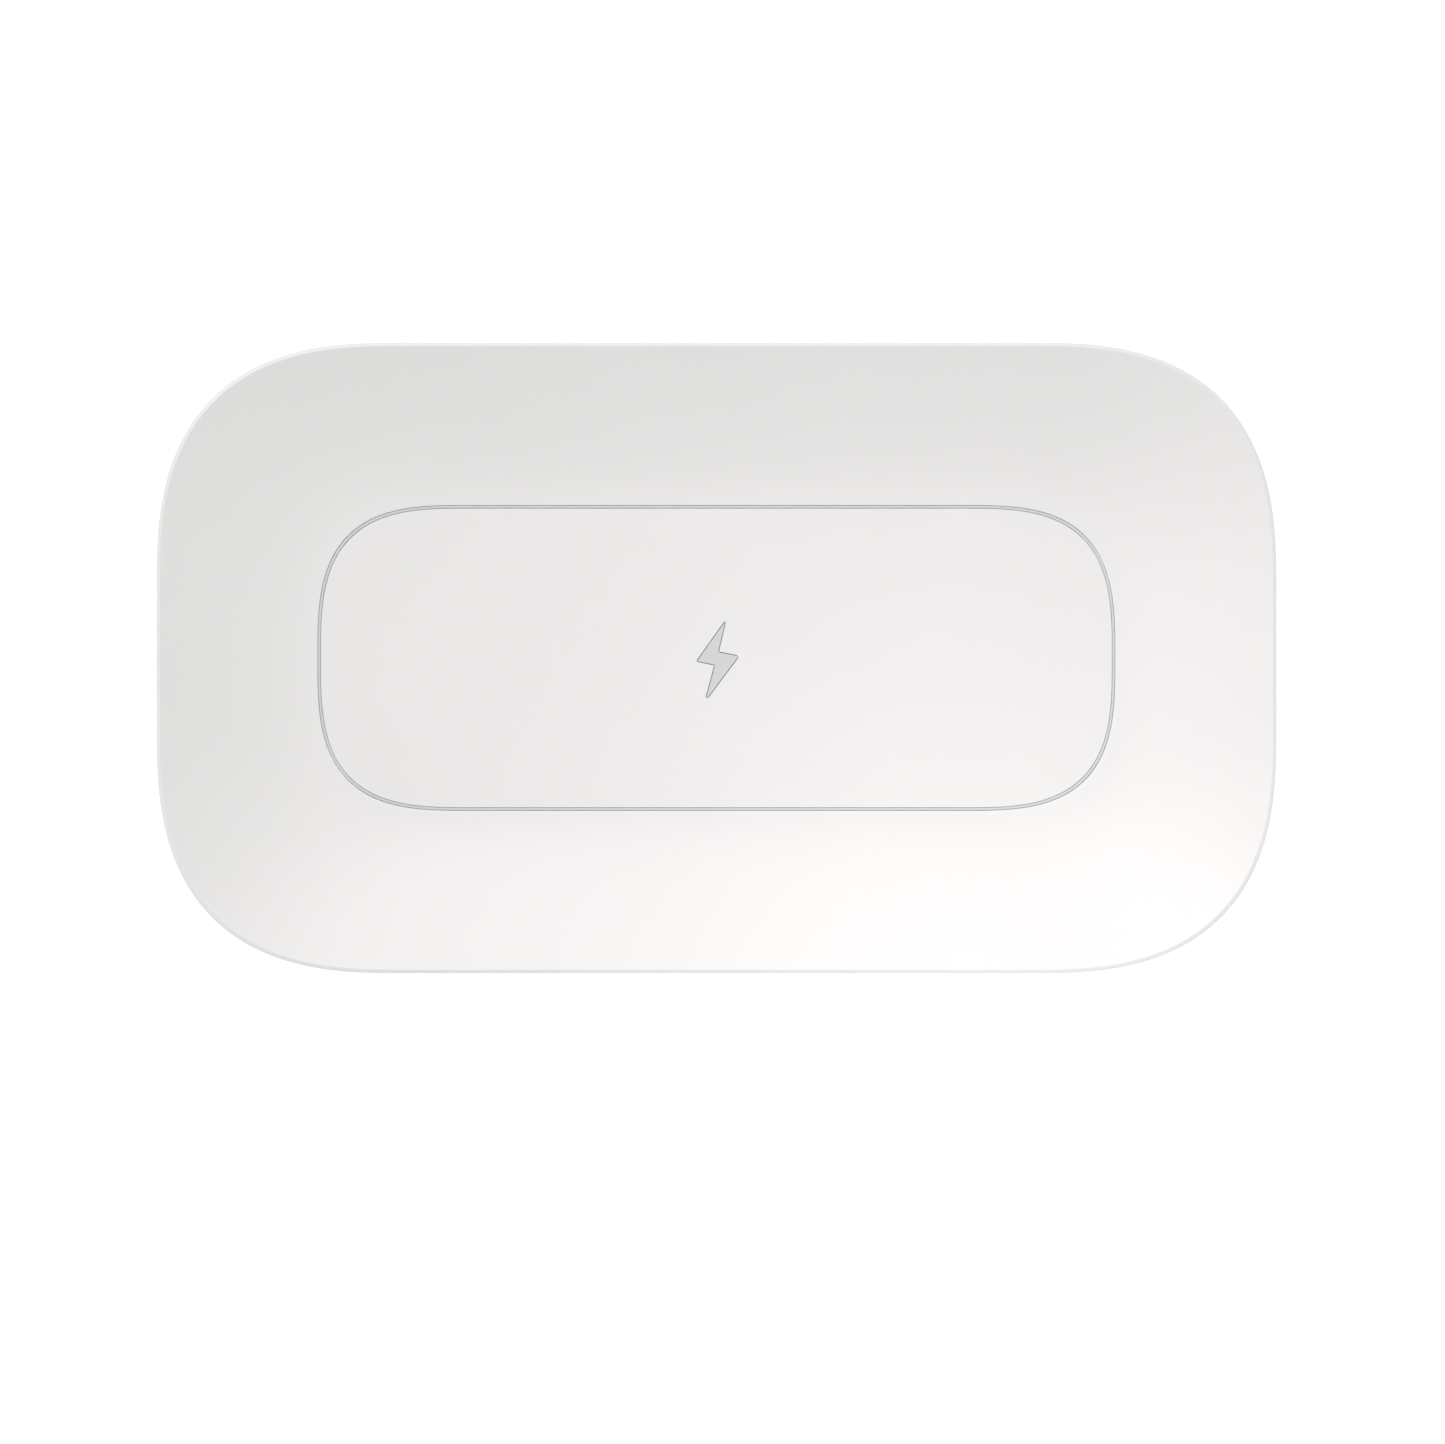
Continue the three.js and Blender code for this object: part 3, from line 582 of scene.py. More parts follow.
# %% Cut the cover
BLOCK_HALF = 8.4
BLOCK_BACK_Y = 58.2
LIP_RADIUS = 0.32
MOUTH = (9.54, 3.8)
WINDOW = (7.3, 1.9)
BOSS_RADIUS = 3.2
BOSS_BOTTOM = 5.6
PILOT_RADIUS = 0.95
block_rows = []
for z in np.linspace(COVER_BOTTOM + 0.5, SHOULDER_Z, 8):
    front_y = float(wall_y(z)) - 0.5
    corners = [[-1, BLOCK_BACK_Y], [1, BLOCK_BACK_Y], [1, front_y], [-1, front_y]]
    block_rows.append([[side * BLOCK_HALF, y, z] for side, y in corners])
combine(cover, loft("pocket_block", block_rows), "UNION")
for name in CASE_SCREWS:
    place = middle_of(name)
    boss = [[BOSS_RADIUS, BOSS_BOTTOM], [BOSS_RADIUS, FLOOR_Z - 1]]
    pilot = [[PILOT_RADIUS, 5], [PILOT_RADIUS, CEILING_Z - 0.4]]
    combine(cover, turned("boss", boss, 48, place), "UNION")
    combine(cover, turned("boss_hole", pilot, 24, place))
combine(cover, bead("pocket_lip", oval(*(POCKET + 0.1)), SOCKET_Z, 1, LIP_RADIUS), "UNION")
pocket = [[*POCKET, POCKET_FLOOR_Y], [*POCKET, HALF_WIDTH + 1]]
mouth = [[*MOUTH, 56], [*MOUTH, POCKET_FLOOR_Y + 1]]
window = [[*WINDOW, -HALF_WIDTH - 1], [*WINDOW, 5 - HALF_WIDTH]]
combine(cover, oval_bar("pocket", pocket, SOCKET_Z))
combine(cover, oval_bar("mouth", mouth, SOCKET_Z))
combine(cover, oval_bar("window", window, PIPE_Z))
pocket_levels = [[-MARK_GAP, FLOOR_Z - GROOVE_DEPTH], [-MARK_GAP, FLOOR_Z + 1]]
combine(cover, flat_stack("bolt_pocket", bolt_loop, pocket_levels))
dress(cover, WHITE, ["top_cover"])
print("cover faces", count(cover))

# %% [markdown]
# The crest of the rim is a crisp line on the real part, although it folds less than the other
# sharp edges do. Its edges are found by their height instead.


# %% Crest of the rim
def crisp_above(piece, z):
    """Marks every edge that lies wholly above a height as sharp, beside those already sharp."""
    mesh = piece.data
    ends = np.empty(2 * len(mesh.edges), int)
    mesh.edges.foreach_get("vertices", ends)
    place = np.empty(3 * len(mesh.vertices))
    mesh.vertices.foreach_get("co", place)
    crisp = np.empty(len(mesh.edges), bool)
    mesh.edges.foreach_get("use_edge_sharp", crisp)
    above = place[2::3][ends].reshape(-1, 2).min(1) > z * MM
    mesh.edges.foreach_set("use_edge_sharp", crisp | above)
    return int(above.sum())


print("crest edges", crisp_above(cover, RIM_Z - 0.002))

# %% [markdown]
# ## Grey inlays
#
# The ring and the bolt are soft grey inlays pressed into their grooves. On the real pad a hair
# of shadow shows on both sides of each, because a pressed part is always slightly narrower
# than its groove. That shadow has to come from a real gap: painting a dark line would look the
# same from every side, and would vanish in a raking light.

# %% Ring and charge mark
INLAY_GAP = 0.07
inlay_top = float(ring_high[2])
inlay_bottom = FLOOR_Z - GROOVE_DEPTH + 0.02
ring_out = groove_out + INLAY_GAP
ring_in = groove_in - INLAY_GAP
ring_profile = (
    [[ring_in, inlay_bottom], [ring_out, inlay_bottom], [ring_out, inlay_top - 0.1]]
    + [[ring_out + 0.1 - dx, z] for dx, z in arc((0, inlay_top - 0.1), 0.1, 20, 90, 4)]
    + [[ring_in - 0.1 - dx, z] for dx, z in arc((0, inlay_top - 0.1), 0.1, 90, 160, 4)]
    + [[ring_in, inlay_top - 0.1]]
)
ring = outlined("grey_placement_ring", ring_profile, COVER_STEPS, closed=True)
dress(ring, GREY, ["placement_ring"])

mark_levels = [[MARK_GAP, inlay_bottom], [MARK_GAP, inlay_top - 0.06]]
mark_levels += [[MARK_GAP + 0.02, inlay_top - 0.02], [MARK_GAP + 0.06, inlay_top]]
mark = flat_stack("grey_charge_mark", bolt_loop, mark_levels)
dress(mark, GREY, ["charge_mark"], 12)
print("ring faces", count(ring), "mark faces", count(mark))

# %% [markdown]
# ## Bottom shell
#
# The bottom shell carries on the curve of the side, after a thin shadow gap that hides the
# small mismatch every pair of mouldings has. Its underside is flat, with four shallow round
# pockets for the feet and six deeper ones for the screw heads. Inside, a tongue stands up
# behind the gap so that nobody can look in. The same outline and loft are used as above.

# %% Bottom shell surface
SEAM_GAP = 0.4
SHELL_TOP = COVER_BOTTOM - SEAM_GAP
TONGUE_Z = COVER_BOTTOM + 1.2
TONGUE = (7.7, 8.7)
WELL_TOP = 3.9
rise = np.linspace(0, 1, 16) ** 2
shell_side = BASE_Z + (SHELL_TOP - 0.15 - BASE_Z) * rise
shell_inner = BASE_Z + WALL + (WELL_TOP - BASE_Z - WALL) * rise[::-3]
top_edge = side_inset(SHELL_TOP)
shell_middle = SIDE_DEPTH + 30
shell_profile = (
    [[shell_middle, BASE_Z], [SIDE_DEPTH + 0.6, BASE_Z]]
    + pairs(side_inset(shell_side), shell_side)
    + [[top_edge + 0.03, SHELL_TOP - 0.05], [top_edge + 0.15, SHELL_TOP], [TONGUE[0], SHELL_TOP]]
    + [[TONGUE[0], TONGUE_Z], [TONGUE[1], TONGUE_Z], [TONGUE[1], WELL_TOP + 0.1]]
    + pairs(side_inset(shell_inner, WALL), shell_inner)
    + [[shell_middle, BASE_Z + WALL]]
)
shell = outlined("white_bottom_shell", shell_profile)
print("shell rows", len(shell_profile), "faces", count(shell))

# %% [markdown]
# Posts take the screws, and small pegs place the coil carrier, the steel plates and the light
# board. Each is a turned solid joined to the floor of the shell. The pockets for the feet and
# the screw heads have a small chamfer at the mouth, as a moulder gives them.


# %% Posts, pegs and pockets
def cup(name, centre, radius, bottom, top, edge=0.15, sides=64):
    """A round cutter with a chamfered mouth: it widens by edge at the shell's lower face."""
    mouth = [[radius + edge, bottom], [radius + edge, BASE_Z]]
    mouth += [[radius, BASE_Z + edge], [radius, top]]
    return turned(name, mouth, sides, centre)


# each pair is a radius and the height where that part ends
CASE_POST = (4, 5.4)
CARRIER_PEG = (1.4, 6.8)
LIGHT_POST = (2, 6.4)
LIGHT_PIN = (0.8, 7.9)
BALLAST_PEG = (1.4, 5.7)
CASE_HOLE = 1.4
HEAD_POCKET = 2.7
BOARD_POST = 2.6
BOARD_HOLE = 0.75
FOOT_POCKET = 8.15
CARRIER_PEG_X = 33
LIGHT_POST_AT = (7.5, -51)
BALLAST_PEGS = ((6, 22), (-7, -23))
BOARD_BOTTOM = float(node_box("main_board")[0][2])
for name in CASE_SCREWS:
    place = middle_of(name)
    pocket_top = float(node_box(name)[0][2]) + 1.5
    combine(shell, turned("post", [[CASE_POST[0], BASE_Z + 1], CASE_POST], 40, place), "UNION")
    combine(shell, turned("hole", [[CASE_HOLE, 0], [CASE_HOLE, 6]], 24, place))
    combine(shell, cup("head_pocket", place, HEAD_POCKET, 0, pocket_top))
for name in BOARD_SCREWS:
    place = middle_of(name)
    post = [[BOARD_POST, BASE_Z + 1], [BOARD_POST, BOARD_BOTTOM - 0.05]]
    combine(shell, turned("board_post", post, 40, place), "UNION")
    combine(shell, turned("board_hole", [[BOARD_HOLE, 3.6], [BOARD_HOLE, 7]], 24, place))
pegs = [(side * CARRIER_PEG_X, 0, *CARRIER_PEG) for side in (-1, 1)]
for shape in (LIGHT_POST, LIGHT_PIN):
    pegs += [(side * LIGHT_POST_AT[0], LIGHT_POST_AT[1], *shape) for side in (-1, 1)]
for name in ("ballast_left", "ballast_right"):
    x, y = middle_of(name)
    pegs += [(x + dx, y + dy, *BALLAST_PEG) for dx, dy in BALLAST_PEGS]
for x, y, radius, top in pegs:
    peg = [[radius, BASE_Z + 1], [radius, top - 0.2], [radius - 0.2, top]]
    combine(shell, turned("peg", peg, 32, (x, y)), "UNION")
for name in FEET:
    pocket_top = float(node_box(name)[1][2])
    combine(shell, cup("foot_pocket", middle_of(name), FOOT_POCKET, 0, pocket_top, 0.2, 96))
dress(shell, WHITE, ["bottom_shell"])
print("shell faces", count(shell))

# %% [markdown]
# ## Feet
#
# The feet are die-cut discs of silicone with a moulded face: a few fine rings, raised a tenth of
# a millimetre, give grip and let air out so the pad doesn't stick to a table. Turning a profile
# round is exactly how the mould is made, so a lathe function is the natural tool.

# %% Silicone feet
FOOT_RINGS = 5
FOOT_EYE = 0.4
FOOT_FILLET = 0.6
RIPPLE = 0.12


def foot_profile(radius, height):
    """[radius, z] pairs of a rippled face, a fillet and a flat back.

    The ripple is z = depth * sin(pi * rings * (r - eye) / span) ** 2."""
    r = np.linspace(FOOT_EYE, radius - 1.3, 60)
    span = radius - 1.3 - FOOT_EYE
    face = RIPPLE * np.sin(np.pi * FOOT_RINGS * (r - FOOT_EYE) / span) ** 2
    edge = arc((radius - FOOT_FILLET, FOOT_FILLET), FOOT_FILLET, -90, 0, 8)
    back = [[radius, height], [radius - 1, height]]
    return [*pairs(r, face), *edge.tolist(), *back]


for name in FEET:
    foot_low, foot_high = node_box(name)
    radius = float(foot_high[1] - foot_low[1]) / 2
    profile = foot_profile(radius, float(foot_high[2]))
    piece = turned("silicone_" + name, profile, 96, middle_of(name))
    dress(piece, SILICONE, [name])
print(len(FEET), "feet of", count(piece), "faces")

# %% [markdown]
# ## Screws
#
# Cross-recess screws hold the case and the board. The recess can be pressed into the head by a
# formula: the head is a surface of radius and angle, and its height drops where the point lies
# in either arm of the cross. The thread is another: the radius follows a sawtooth that climbs
# one pitch per turn. Both are cheaper and cleaner than cutting a cross out with booleans.

# %% Screw surface
SCREW_SIDES = 48
SCREW_PITCH = 0.8
SCREW_TIP = 0.5
ROWS_PER_TURN = 8


def screw(name, centre, seat, way, head, shank, length):
    """A cross-recess screw whose shank goes along way (+1 up, -1 down) from its seat.

    Head: z falls from the crown by recess * exp(-(d / w) ** 6), with d the distance to the
    nearer arm of the cross inside its reach. Shank: r = core + depth * triangle(z / pitch - a)."""
    angle = np.arange(SCREW_SIDES) * 2 * np.pi / SCREW_SIDES
    cosine, sine = np.cos(angle), np.sin(angle)
    loops = []
    radius, height = head
    for share in np.concatenate([np.linspace(0.03, 0.9, 26), [0.95, 0.985, 1.0]]):
        r = share * radius
        arm = np.minimum(np.abs(r * cosine), np.abs(r * sine)) / (0.17 * radius)
        reach = r / (0.66 * radius)
        recess = 0.62 * height * np.exp(-(arm**6)) * np.exp(-(reach**8))
        crown = height * (0.72 + 0.28 * np.sqrt(np.clip(1 - share**6, 0, 1)))
        loops.append(np.column_stack([r * cosine, r * sine, -(crown - recess)]))
    for share, z in [(1, -0.12 * height), (0.97, 0)]:
        r = share * radius
        loops.append(np.column_stack([r * cosine, r * sine, 0 * angle + z]))
    for z in np.linspace(0, length, int(length / SCREW_PITCH * ROWS_PER_TURN)):
        turn = (z / SCREW_PITCH - angle / (2 * np.pi)) % 1
        threaded = (z > 0.4) * (z < length - SCREW_TIP)
        thread = 0.22 * shank * (1 - np.abs(2 * turn - 1)) * threaded
        taper = max(z - length + SCREW_TIP, 0) / SCREW_TIP
        r = shank * (0.78 - 0.35 * taper) + thread
        loops.append(np.column_stack([r * cosine, r * sine, np.full(SCREW_SIDES, z)]))
    loops = np.array(loops) * [1, 1, way] + [*centre, seat]
    return loft(name, loops)


print("screw pitch", SCREW_PITCH, "mm")

# %% [markdown]
# The six case screws point up from below and the four board screws point down. One function
# makes both kinds, because their size and direction are read from the CAD solids.

# %% Ten screws
# radius and height of the two kinds of head
CASE_HEAD = (2.4, 1.5)
BOARD_HEAD = (1.9, 1.0)
for name in CASE_SCREWS + BOARD_SCREWS:
    screw_low, screw_high = node_box(name)
    case = name in CASE_SCREWS
    way = 1 if case else -1
    head = CASE_HEAD if case else BOARD_HEAD
    seat = float(screw_low[2]) + head[1] if case else float(screw_high[2]) - head[1]
    length = float(screw_high[2] - screw_low[2]) - head[1]
    shank = 1.2 if case else 1.0
    piece = screw("steel_" + name, middle_of(name), seat, way, head, shank, length)
    dress(piece, STEEL, [name], 40)
print(len(CASE_SCREWS) + len(BOARD_SCREWS), "screws of", count(piece), "faces")

# %% [markdown]
# ## Power socket
#
# The socket is the common flat oval kind: a drawn steel shell, nickel plated, round a black
# tongue that carries a row of gold contacts on each side. The mouth of the shell is rolled
# slightly inwards. The shell is an oval carried along its depth, out and back in again, so its
# wall has a real thickness at the mouth.

# %% Socket shell and tongue
GOLD = finish("gold_contact", (0.78, 0.56, 0.20), (0.86, 0.64, 0.27), (0.2, 0.35), 0.1, 1, 2, 1.0)
TONGUE_BLACK = finish(
    "black_socket_tongue", (0.018, 0.018, 0.02), (0.03, 0.03, 0.032), (0.4, 0.55), 0.15, 3, 4
)
back_y, mouth_y = float(socket_low[1]), float(socket_high[1])
width, height = float(socket_high[0] - socket_low[0]), float(socket_high[2] - socket_low[2])
# how much smaller than its full size the tube is at each place: round the outside, then inside
shell_rows = [(0.4, back_y), (0, back_y + 0.2), (0, mouth_y - 0.15), (0.06, mouth_y - 0.04)]
shell_rows += [(0.24, mouth_y), (0.46, mouth_y - 0.05), (0.6, mouth_y - 0.25)]
shell_rows += [(0.6, back_y + 0.9)]
shell_levels = [[width - less, height - less, y] for less, y in shell_rows]
socket = oval_bar("nickel_socket_shell", shell_levels, SOCKET_Z)
dress(socket, NICKEL, ["socket_shell"])

BLADE_WIDTH = 6.69
BLADE = 0.7
ROOT_HEIGHT = 1.5
reach = float(node_box("socket_tongue")[1][1])
tongue_rows = [(ROOT_HEIGHT, back_y + 1.0), (ROOT_HEIGHT, back_y + 1.9)]
tongue_rows += [(BLADE, back_y + 2.1), (BLADE, reach - 0.25)]
tongue_levels = [[BLADE_WIDTH, thick, y] for thick, y in tongue_rows] + [[6.4, 0.42, reach]]
tongue = oval_bar("black_socket_tongue", tongue_levels, SOCKET_Z)
dress(tongue, TONGUE_BLACK, ["socket_tongue"])
print("socket faces", count(socket), "tongue faces", count(tongue))

# %% [markdown]
# The contacts are thin gold bars, twelve on each face of the tongue, half a millimetre apart. A
# bar is a unit cube scaled and moved, and all the bars together make one mesh.

# %% Contacts
CONTACT_PITCH = 0.5
CONTACT_SIZE = (0.25, 3.0, 0.06)
CONTACTS = 12
contact_rings = []
contact_faces = []
cube = np.array([[i, j, k] for i in (0, 1) for j in (0, 1) for k in (0, 1)], float) - 0.5
cube_faces = [[0, 1, 3, 2], [4, 6, 7, 5], [0, 4, 5, 1], [2, 3, 7, 6], [0, 2, 6, 4], [1, 5, 7, 3]]
for side in (-1, 1):
    for column in range(CONTACTS):
        along = (column - (CONTACTS - 1) / 2) * CONTACT_PITCH
        centre = [along, reach - 2.0, SOCKET_Z + side * BLADE / 2]
        contact_faces.append(np.array(cube_faces) + 8 * len(contact_rings))
        contact_rings.append(cube * CONTACT_SIZE + centre)
contact_points = np.concatenate(contact_rings)
contacts = raw_mesh("gold_socket_contacts", contact_points, np.concatenate(contact_faces))
dress(contacts, GOLD)
print("contacts", len(contact_rings))

# %% [markdown]
# ## Light pipe
#
# A clear plastic rod carries the light of a diode to a small window in the front wall. Its face
# follows the curve of the wall, like a pebble worn flush. It is made of clear acrylic, frosted
# at the face, so it shows as a slightly darker, glassy slot when the light is off.

# %% Light pipe and diode
ACRYLIC = finish(
    "frosted_light_pipe", (0.72, 0.74, 0.75), (0.78, 0.80, 0.81), (0.18, 0.3), 0.2, 3, 4, 0, 1.49
)
ACRYLIC.node_tree.nodes["Principled BSDF"].inputs["Transmission Weight"].default_value = 0.35
PHOSPHOR = finish("diode_phosphor", (0.80, 0.72, 0.30), (0.86, 0.79, 0.40), (0.4, 0.5), 0.2, 4, 2)
PIPE = (7.0, 1.6)
FLANGE = (9, 2.8)
pipe_rows = []
for shrink, out in [(0, -3.4), (0, -1.0), (0, -0.12), (0.06, -0.04), (0.16, 0.0), (0.5, 0.03)]:
    loop = oval(PIPE[0] - 2 * shrink, PIPE[1] - 2 * shrink)
    pipe_rows.append(follow_wall(loop, PIPE_Z, -1, out))
flange = oval(*FLANGE)
flange_rows = []
for y in (-58.2, -59.0):
    level = np.full(len(flange), y)
    flange_rows.append(np.column_stack([flange[:, 0], level, PIPE_Z + flange[:, 1]]))
pipe = loft("clear_light_pipe", flange_rows + pipe_rows)
dress(pipe, ACRYLIC, ["light_pipe"])
print("light pipe faces", count(pipe))

# %% [markdown]
# ## Charging coil
#
# The coil is a flat spiral of litz wire: hundreds of hair-thin lacquered strands twisted into
# one soft round cord, so it looks like fine rope with a copper shine. The spiral is a formula:
# the radius shrinks evenly with the angle. A tube carried along it is one grid of points, and
# the twist of the strands is a wave in the tube's radius that turns as it goes.

# %% Coil winding
COPPER = finish(
    "lacquered_litz", (0.55, 0.22, 0.09), (0.78, 0.38, 0.17), (0.28, 0.45), 0.12, 6, 3, 0.9
)
coil_low, coil_high = node_box("coil_winding")
WIRE_R = float(coil_high[2] - coil_low[2]) / 2
COIL_EYE = 10.5
COIL_SLACK = 0.05
COIL_OUT = float(coil_high[0] - coil_low[0]) / 2 - WIRE_R - COIL_SLACK
COIL_IN = COIL_EYE + WIRE_R + COIL_SLACK
TURNS = int((COIL_OUT - COIL_IN) / (2 * WIRE_R))
STRANDS = 9
TWISTS = 40


def litz_spiral(turns, per_turn=72, around=18):
    """Loops of a tube along the flat spiral r = out - (out - in) * t, with twisted strands.

    The tube's radius is wire * (0.93 + 0.07 * |sin(strands * (b + twist / 2) / 2)|), where b
    goes round the tube and twist grows along it."""
    t = np.linspace(0, 1, int(turns * per_turn))
    a = np.pi / 2 - 2 * np.pi * turns * t
    r = COIL_OUT - (COIL_OUT - COIL_IN) * t
    middle = np.full_like(t, (coil_low[2] + coil_high[2]) / 2)
    centre = np.stack([r * np.cos(a), r * np.sin(a), middle], 1)
    across = np.stack([np.cos(a), np.sin(a), 0 * a], 1)
    b = np.arange(around) * 2 * np.pi / around
    twist = TWISTS * 2 * np.pi * t[:, None]
    wave = WIRE_R * (0.93 + 0.07 * np.abs(np.sin(STRANDS * (b + twist / 2) / 2)))
    offset = np.cos(b)[None, :, None] * across[:, None] + np.sin(b)[None, :, None] * [0, 0, 1]
    return centre[:, None] + wave[:, :, None] * offset


coil = loft("litz_coil_winding", litz_spiral(TURNS))
dress(coil, COPPER, ["coil_winding"], 180)
print("coil turns", TURNS, "faces", count(coil))

# %% [markdown]
# A round of amber tape holds the turns together from above. It is cut with a round knife, so
# it is a plain turned disc with many sides.

# %% Coil tape
TAPE = finish(
    "amber_polyimide_tape", (0.62, 0.33, 0.05), (0.72, 0.42, 0.09), (0.2, 0.4), 1.5, 6, 10
)
tape_low, tape_high = node_box("coil_tape")
tape_radius = float(tape_high[0] - tape_low[0]) / 2
tape_profile = [[tape_radius, float(tape_low[2])], [tape_radius, float(tape_high[2])]]
tape = turned("amber_coil_tape", tape_profile, 128, middle_of("coil_tape"))
dress(tape, TAPE, ["coil_tape"])
print("tape radius", round(tape_radius, 2), "mm")

# %% [markdown]
# ## Parts that keep their CAD shape
#
# Chips, capacitors, boards and plates are flat-sided in real life as well, so their
# solids stay as they are. Each gets its own finish: ferrite is a dull pressed ceramic,
# aluminium is brushed by rolling, and solder mask is a thin green lacquer over glass cloth
# whose weave just shows.

# %% Inner finishes
INNER = {
    "board": finish(
        "green_solder_mask", (0.012, 0.085, 0.04), (0.02, 0.12, 0.06), (0.25, 0.38), 0.6, 6, 8
    ),
    "chip": finish(
        "moulded_epoxy_chip", (0.022, 0.022, 0.024), (0.035, 0.035, 0.037), (0.5, 0.65), 0.12, 5, 3
    ),
    "inductor": finish(
        "pressed_iron_inductor", (0.05, 0.05, 0.052), (0.09, 0.09, 0.095), (0.55, 0.75), 0.15, 14, 2
    ),
    "capacitor": finish(
        "ceramic_capacitor", (0.36, 0.24, 0.13), (0.44, 0.31, 0.18), (0.35, 0.5), 0.1, 4, 2
    ),
    "crystal_can": finish(
        "drawn_crystal_can", (0.55, 0.55, 0.56), (0.66, 0.66, 0.67), (0.2, 0.32), 0.2, 2, 3, 1.0
    ),
    "ferrite": finish(
        "pressed_ferrite", (0.03, 0.03, 0.032), (0.055, 0.055, 0.058), (0.7, 0.9), 0.2, 16, 12
    ),
    "carrier_plastic": finish(
        "black_coil_carrier", (0.02, 0.02, 0.022), (0.032, 0.032, 0.034), (0.45, 0.6), 0.3, 6, 20
    ),
    "thermistor_bead": finish(
        "glass_thermistor_bead", (0.05, 0.07, 0.11), (0.08, 0.10, 0.15), (0.1, 0.2), 0.3, 3, 1
    ),
    "aluminium": finish(
        "rolled_aluminium", (0.70, 0.70, 0.71), (0.80, 0.80, 0.81), (0.28, 0.45), 0.25, 4, 15, 1.0
    ),
    "foam": finish(
        "closed_cell_foam", (0.05, 0.05, 0.052), (0.09, 0.09, 0.094), (0.9, 1.0), 0.35, 60, 6
    ),
    "ballast_steel": finish(
        "blanked_steel_ballast", (0.36, 0.37, 0.38), (0.50, 0.51, 0.52), (0.3, 0.5), 0.3, 6, 12, 1.0
    ),
    "led": PHOSPHOR,
    "ribbon": finish(
        "white_flat_cable", (0.72, 0.72, 0.70), (0.80, 0.80, 0.78), (0.35, 0.5), 0.5, 8, 15
    ),
    "cable_socket": finish(
        "cream_cable_socket", (0.74, 0.70, 0.60), (0.80, 0.76, 0.67), (0.4, 0.55), 0.2, 4, 3
    ),
    "copper_litz": COPPER,
}
print("inner finishes", len(INNER))

# %% [markdown]
# A solid that no finer piece has replaced keeps its shape, and takes the finish that its slot
# in the record asks for.

# %% Finish the kept solids
slots = {row["node"]: row["material_slot"] for row in frame["record"]["subparts"]}
kept = [name for name, node in NODES.items() if not node.hide_render]
for name in kept:
    node = NODES[name]
    for slot_index in range(max(len(node.material_slots), 1)):
        if not node.material_slots:
            node.data.materials.append(None)
        node.material_slots[slot_index].material = INNER[slots[name]]
print("kept CAD shapes:", len(kept))

# %% [markdown]
# ## Studio
#
# The pad is shown as in a catalogue: straight from above, on white. The white comes from below:
# the pad lies on a light table, a pale floor that shines round it. Just under the pad its glow
# is turned down, which paints a contact shadow on the floor. Without it the table's light would
# flood the underside and the pad would seem to float. A bright white sky would be simpler, but
# it would light the pad evenly and flatten its slopes.

# %% Light table
TABLE_GLOW = 0.985
# painted contact shadow: the floor's glow under the pad is turned down to this and fades back
# between these insets
PAINTED_SHADOW_GLOW = 0.30
PAINTED_SHADOW_INSET = (12, 1)


def light_table_with_painted_shadow(name, colour, roughness):
    """A pale surface that glows, with the glow turned down inside the pad's outline to paint the
    pad's contact shadow on the floor.

    With c = max(|place| - straight, 0), the outlines are the lines where (cx^p + cy^p)^(1/p)
    is even. The glow goes from the low glow of the painted shadow to TABLE_GLOW between the
    shadow's two insets."""
    material = bpy.data.materials.new(name)
    material.use_nodes = True
    tree = material.node_tree
    shader = tree.nodes["Principled BSDF"]
    shader.inputs["Base Color"].default_value = (*colour, 1)
    shader.inputs["Roughness"].default_value = roughness
    shader.inputs["Specular IOR Level"].default_value = 0.1
    shader.inputs["Emission Color"].default_value = (1, 1, 1, 1)

    def node(kind, output, *values, **settings):
        made = tree.nodes.new(kind)
        for key, value in settings.items():
            setattr(made, key, value)
        for socket, value in zip(made.inputs, values):
            if isinstance(value, bpy.types.NodeSocket):
                tree.links.new(value, socket)
            else:
                socket.default_value = value
        return made.outputs[output]

    def vector(operation, *values):
        return node("ShaderNodeVectorMath", "Vector", *values, operation=operation)

    def math(operation, *values):
        return node("ShaderNodeMath", "Value", *values, operation=operation)

    place = vector("MULTIPLY", node("ShaderNodeTexCoord", "Object"), (1 / MM, 1 / MM, 0))
    straight = (*(PAD_HALF - PAD_CORNER), 0)
    beyond = vector("MAXIMUM", vector("SUBTRACT", vector("ABSOLUTE", place), straight), (0, 0, 0))
    along_x = node("ShaderNodeSeparateXYZ", "X", beyond)
    along_y = node("ShaderNodeSeparateXYZ", "Y", beyond)
    total = math("ADD", math("POWER", along_x, PAD_POWER), math("POWER", along_y, PAD_POWER))
    reach = math("POWER", total, 1 / PAD_POWER)
    span = [PAD_CORNER - inset for inset in PAINTED_SHADOW_INSET]
    # the lower glow inside the pad's outline paints its contact shadow on the floor
    glow = node("ShaderNodeMapRange", "Result", reach, *span, PAINTED_SHADOW_GLOW, TABLE_GLOW)
    tree.links.new(glow, shader.inputs["Emission Strength"])
    return material


print("table glow", TABLE_GLOW, "and under the pad", PAINTED_SHADOW_GLOW)

# %% [markdown]
# The floor and the wall are one turned surface: flat, then a quarter circle, then straight up.
# The wall is far away. Its low light reaches the outer edge of the rim, which would turn grey
# without it, and it gives the side views a quiet background too.

